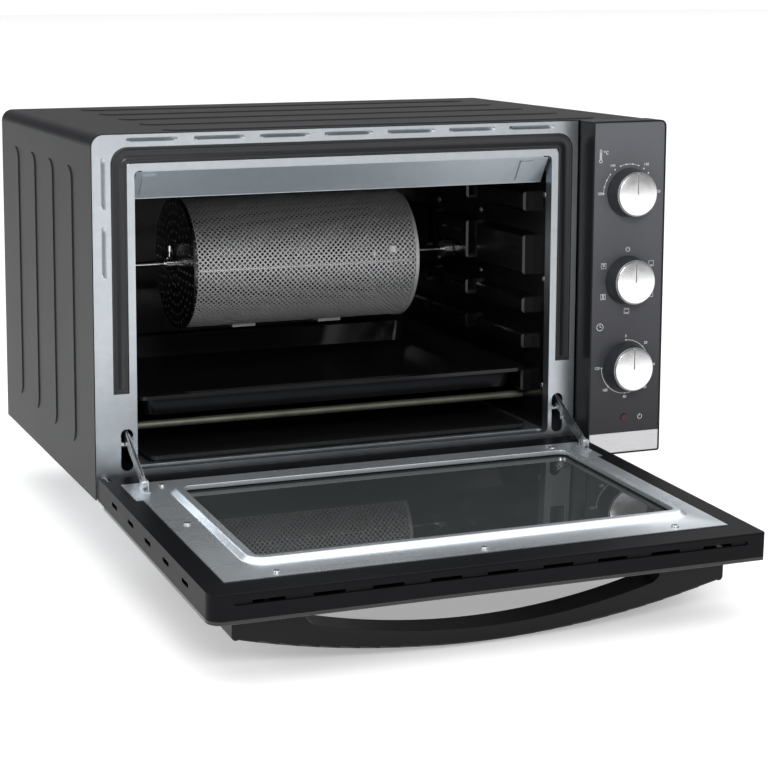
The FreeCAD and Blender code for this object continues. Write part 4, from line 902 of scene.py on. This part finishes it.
# %% Pictures
BOX = [(-2.7, -2.7), (2.7, -2.7), (2.7, 2.7), (-2.7, 2.7), (-2.7, -2.7)]
ways = dials["mode_knob"]
for n, strokes in enumerate(("", "l", "u", "lu", "lud", "ud")):
    x, z = on_dial(ways, 31.5 * MM, n * 60)
    if not strokes:
        arc((x, z), 2.2 * MM, 30, 330, 0.5 * MM)
        line(x, z, (0, 0.6), (0, 3.0))
        continue
    line(x, z, *BOX)
    if "l" in strokes:
        line(x, z, (-1.7, -1.7), (1.7, -1.7))
    if "u" in strokes:
        line(x, z, (-1.7, 1.7), (1.7, 1.7))
    if "d" in strokes:
        arc((x, z), 0.9 * MM, 0, 360, 0.4 * MM, 12)

panel_x, panel_z = -295 * MM, 66 * MM
x, z = panel_x + 515.5 * MM, panel_z + 310.6 * MM
line(x, z, (-0.9, -3.6), (-0.9, 5.6), (0, 6.6), (0.9, 5.6), (0.9, -3.6))
arc((x, z - 5.2 * MM), 1.7 * MM, 30, 330, 0.45 * MM, 16)
line(x, z, (0, -5.0), (0, 3.4))
arc((x + 4.2 * MM, z + 4.2 * MM), 0.7 * MM, 0, 360, 0.35 * MM, 10)
number("C", (x + 7.1 * MM, z + 2.9 * MM), 4.6 * MM)
x, z = panel_x + 518.3 * MM, panel_z + 137.1 * MM
arc((x, z), 3.6 * MM, 0, 360, 0.45 * MM, 24)
line(x, z, (0, 2.4), (0, 0), (1.7, 0))
x, z = panel_x + 566.5 * MM, panel_z + 41.8 * MM
arc((x, z), 2.4 * MM, 30, 330, 0.45 * MM, 16)
line(x, z, (0, 0.8), (0, 3.2))

print_layer = joined("dial_print", ink)
add_modifier(print_layer, "SOLIDIFY", thickness=0.05 * MM, offset=0)
fit(print_layer, white_print.material, "cabinet", "panel_face")

# %% [markdown]
# ## Floor and light
# The oven stands on a pale, matt floor. The floor and a far backdrop glow a little, so that they read
# as an even white and the shadows stay soft. A white surround would put a grey film on everything
# black, so the backdrop is only for the camera, and the light comes from a few soft panels instead:
# a very wide sun overhead, one panel at the left, and a small one beside the camera that reaches into
# the cavity.

# %% Floor and light
def stage_plane(name, place, turn, size, glow):
    deselect_everything()
    bpy.ops.mesh.primitive_plane_add(size=size, location=place, rotation=turn)
    plane = bpy.context.object
    plane.name = name
    finish = Finish(name, Specular_IOR_Level=0.05, Emission_Color=(1, 1, 1), Emission_Strength=glow)
    patches = finish.noise(0.6, 2.0)
    finish.colour(finish.mix(patches, (0.79, 0.79, 0.79), (0.81, 0.81, 0.81)))
    finish.roughness(0.85 + patches * 0.05)
    plane.data.materials.append(finish.material)
    return plane


stage_plane("floor", (0, 0, -0.0002), (0, 0, 0), 80, 0.36)
backdrop = stage_plane("backdrop", (0, 38, 0), (math.pi / 2, 0, 0), 80, 1.2)
backdrop.visible_glossy = False
backdrop.visible_diffuse = False

scene = bpy.context.scene
scene.view_settings.view_transform = "Standard"
world = bpy.data.worlds.new("world")
scene.world = world
world.use_nodes = True
world.node_tree.nodes["Background"].inputs["Color"].default_value = (1, 1, 1, 1)
world.node_tree.nodes["Background"].inputs["Strength"].default_value = 0.22


def soft_light(name, place, target, size, power):
    data = bpy.data.lights.new(name, "AREA")
    data.shape = "RECTANGLE"
    data.size = size
    data.size_y = size
    data.energy = power
    light = bpy.data.objects.new(name, data)
    scene.collection.objects.link(light)
    light.location = place
    light.rotation_euler = (Vector(target) - Vector(place)).to_track_quat("-Z", "Y").to_euler()


sky = bpy.data.lights.new("sky", "SUN")
sky.energy = 2.5
sky.angle = math.radians(100)
sky_light = bpy.data.objects.new("sky", sky)
scene.collection.objects.link(sky_light)
sky_light.rotation_euler = (math.radians(-12), math.radians(10), 0)
soft_light("left", (-3.2, -0.6, 1.8), (0, 0, 0.25), 1.6, 30)
soft_light("beside_camera", (-0.5, -2.6, 1.5), (0, 0, 0.25), 0.8, 32)
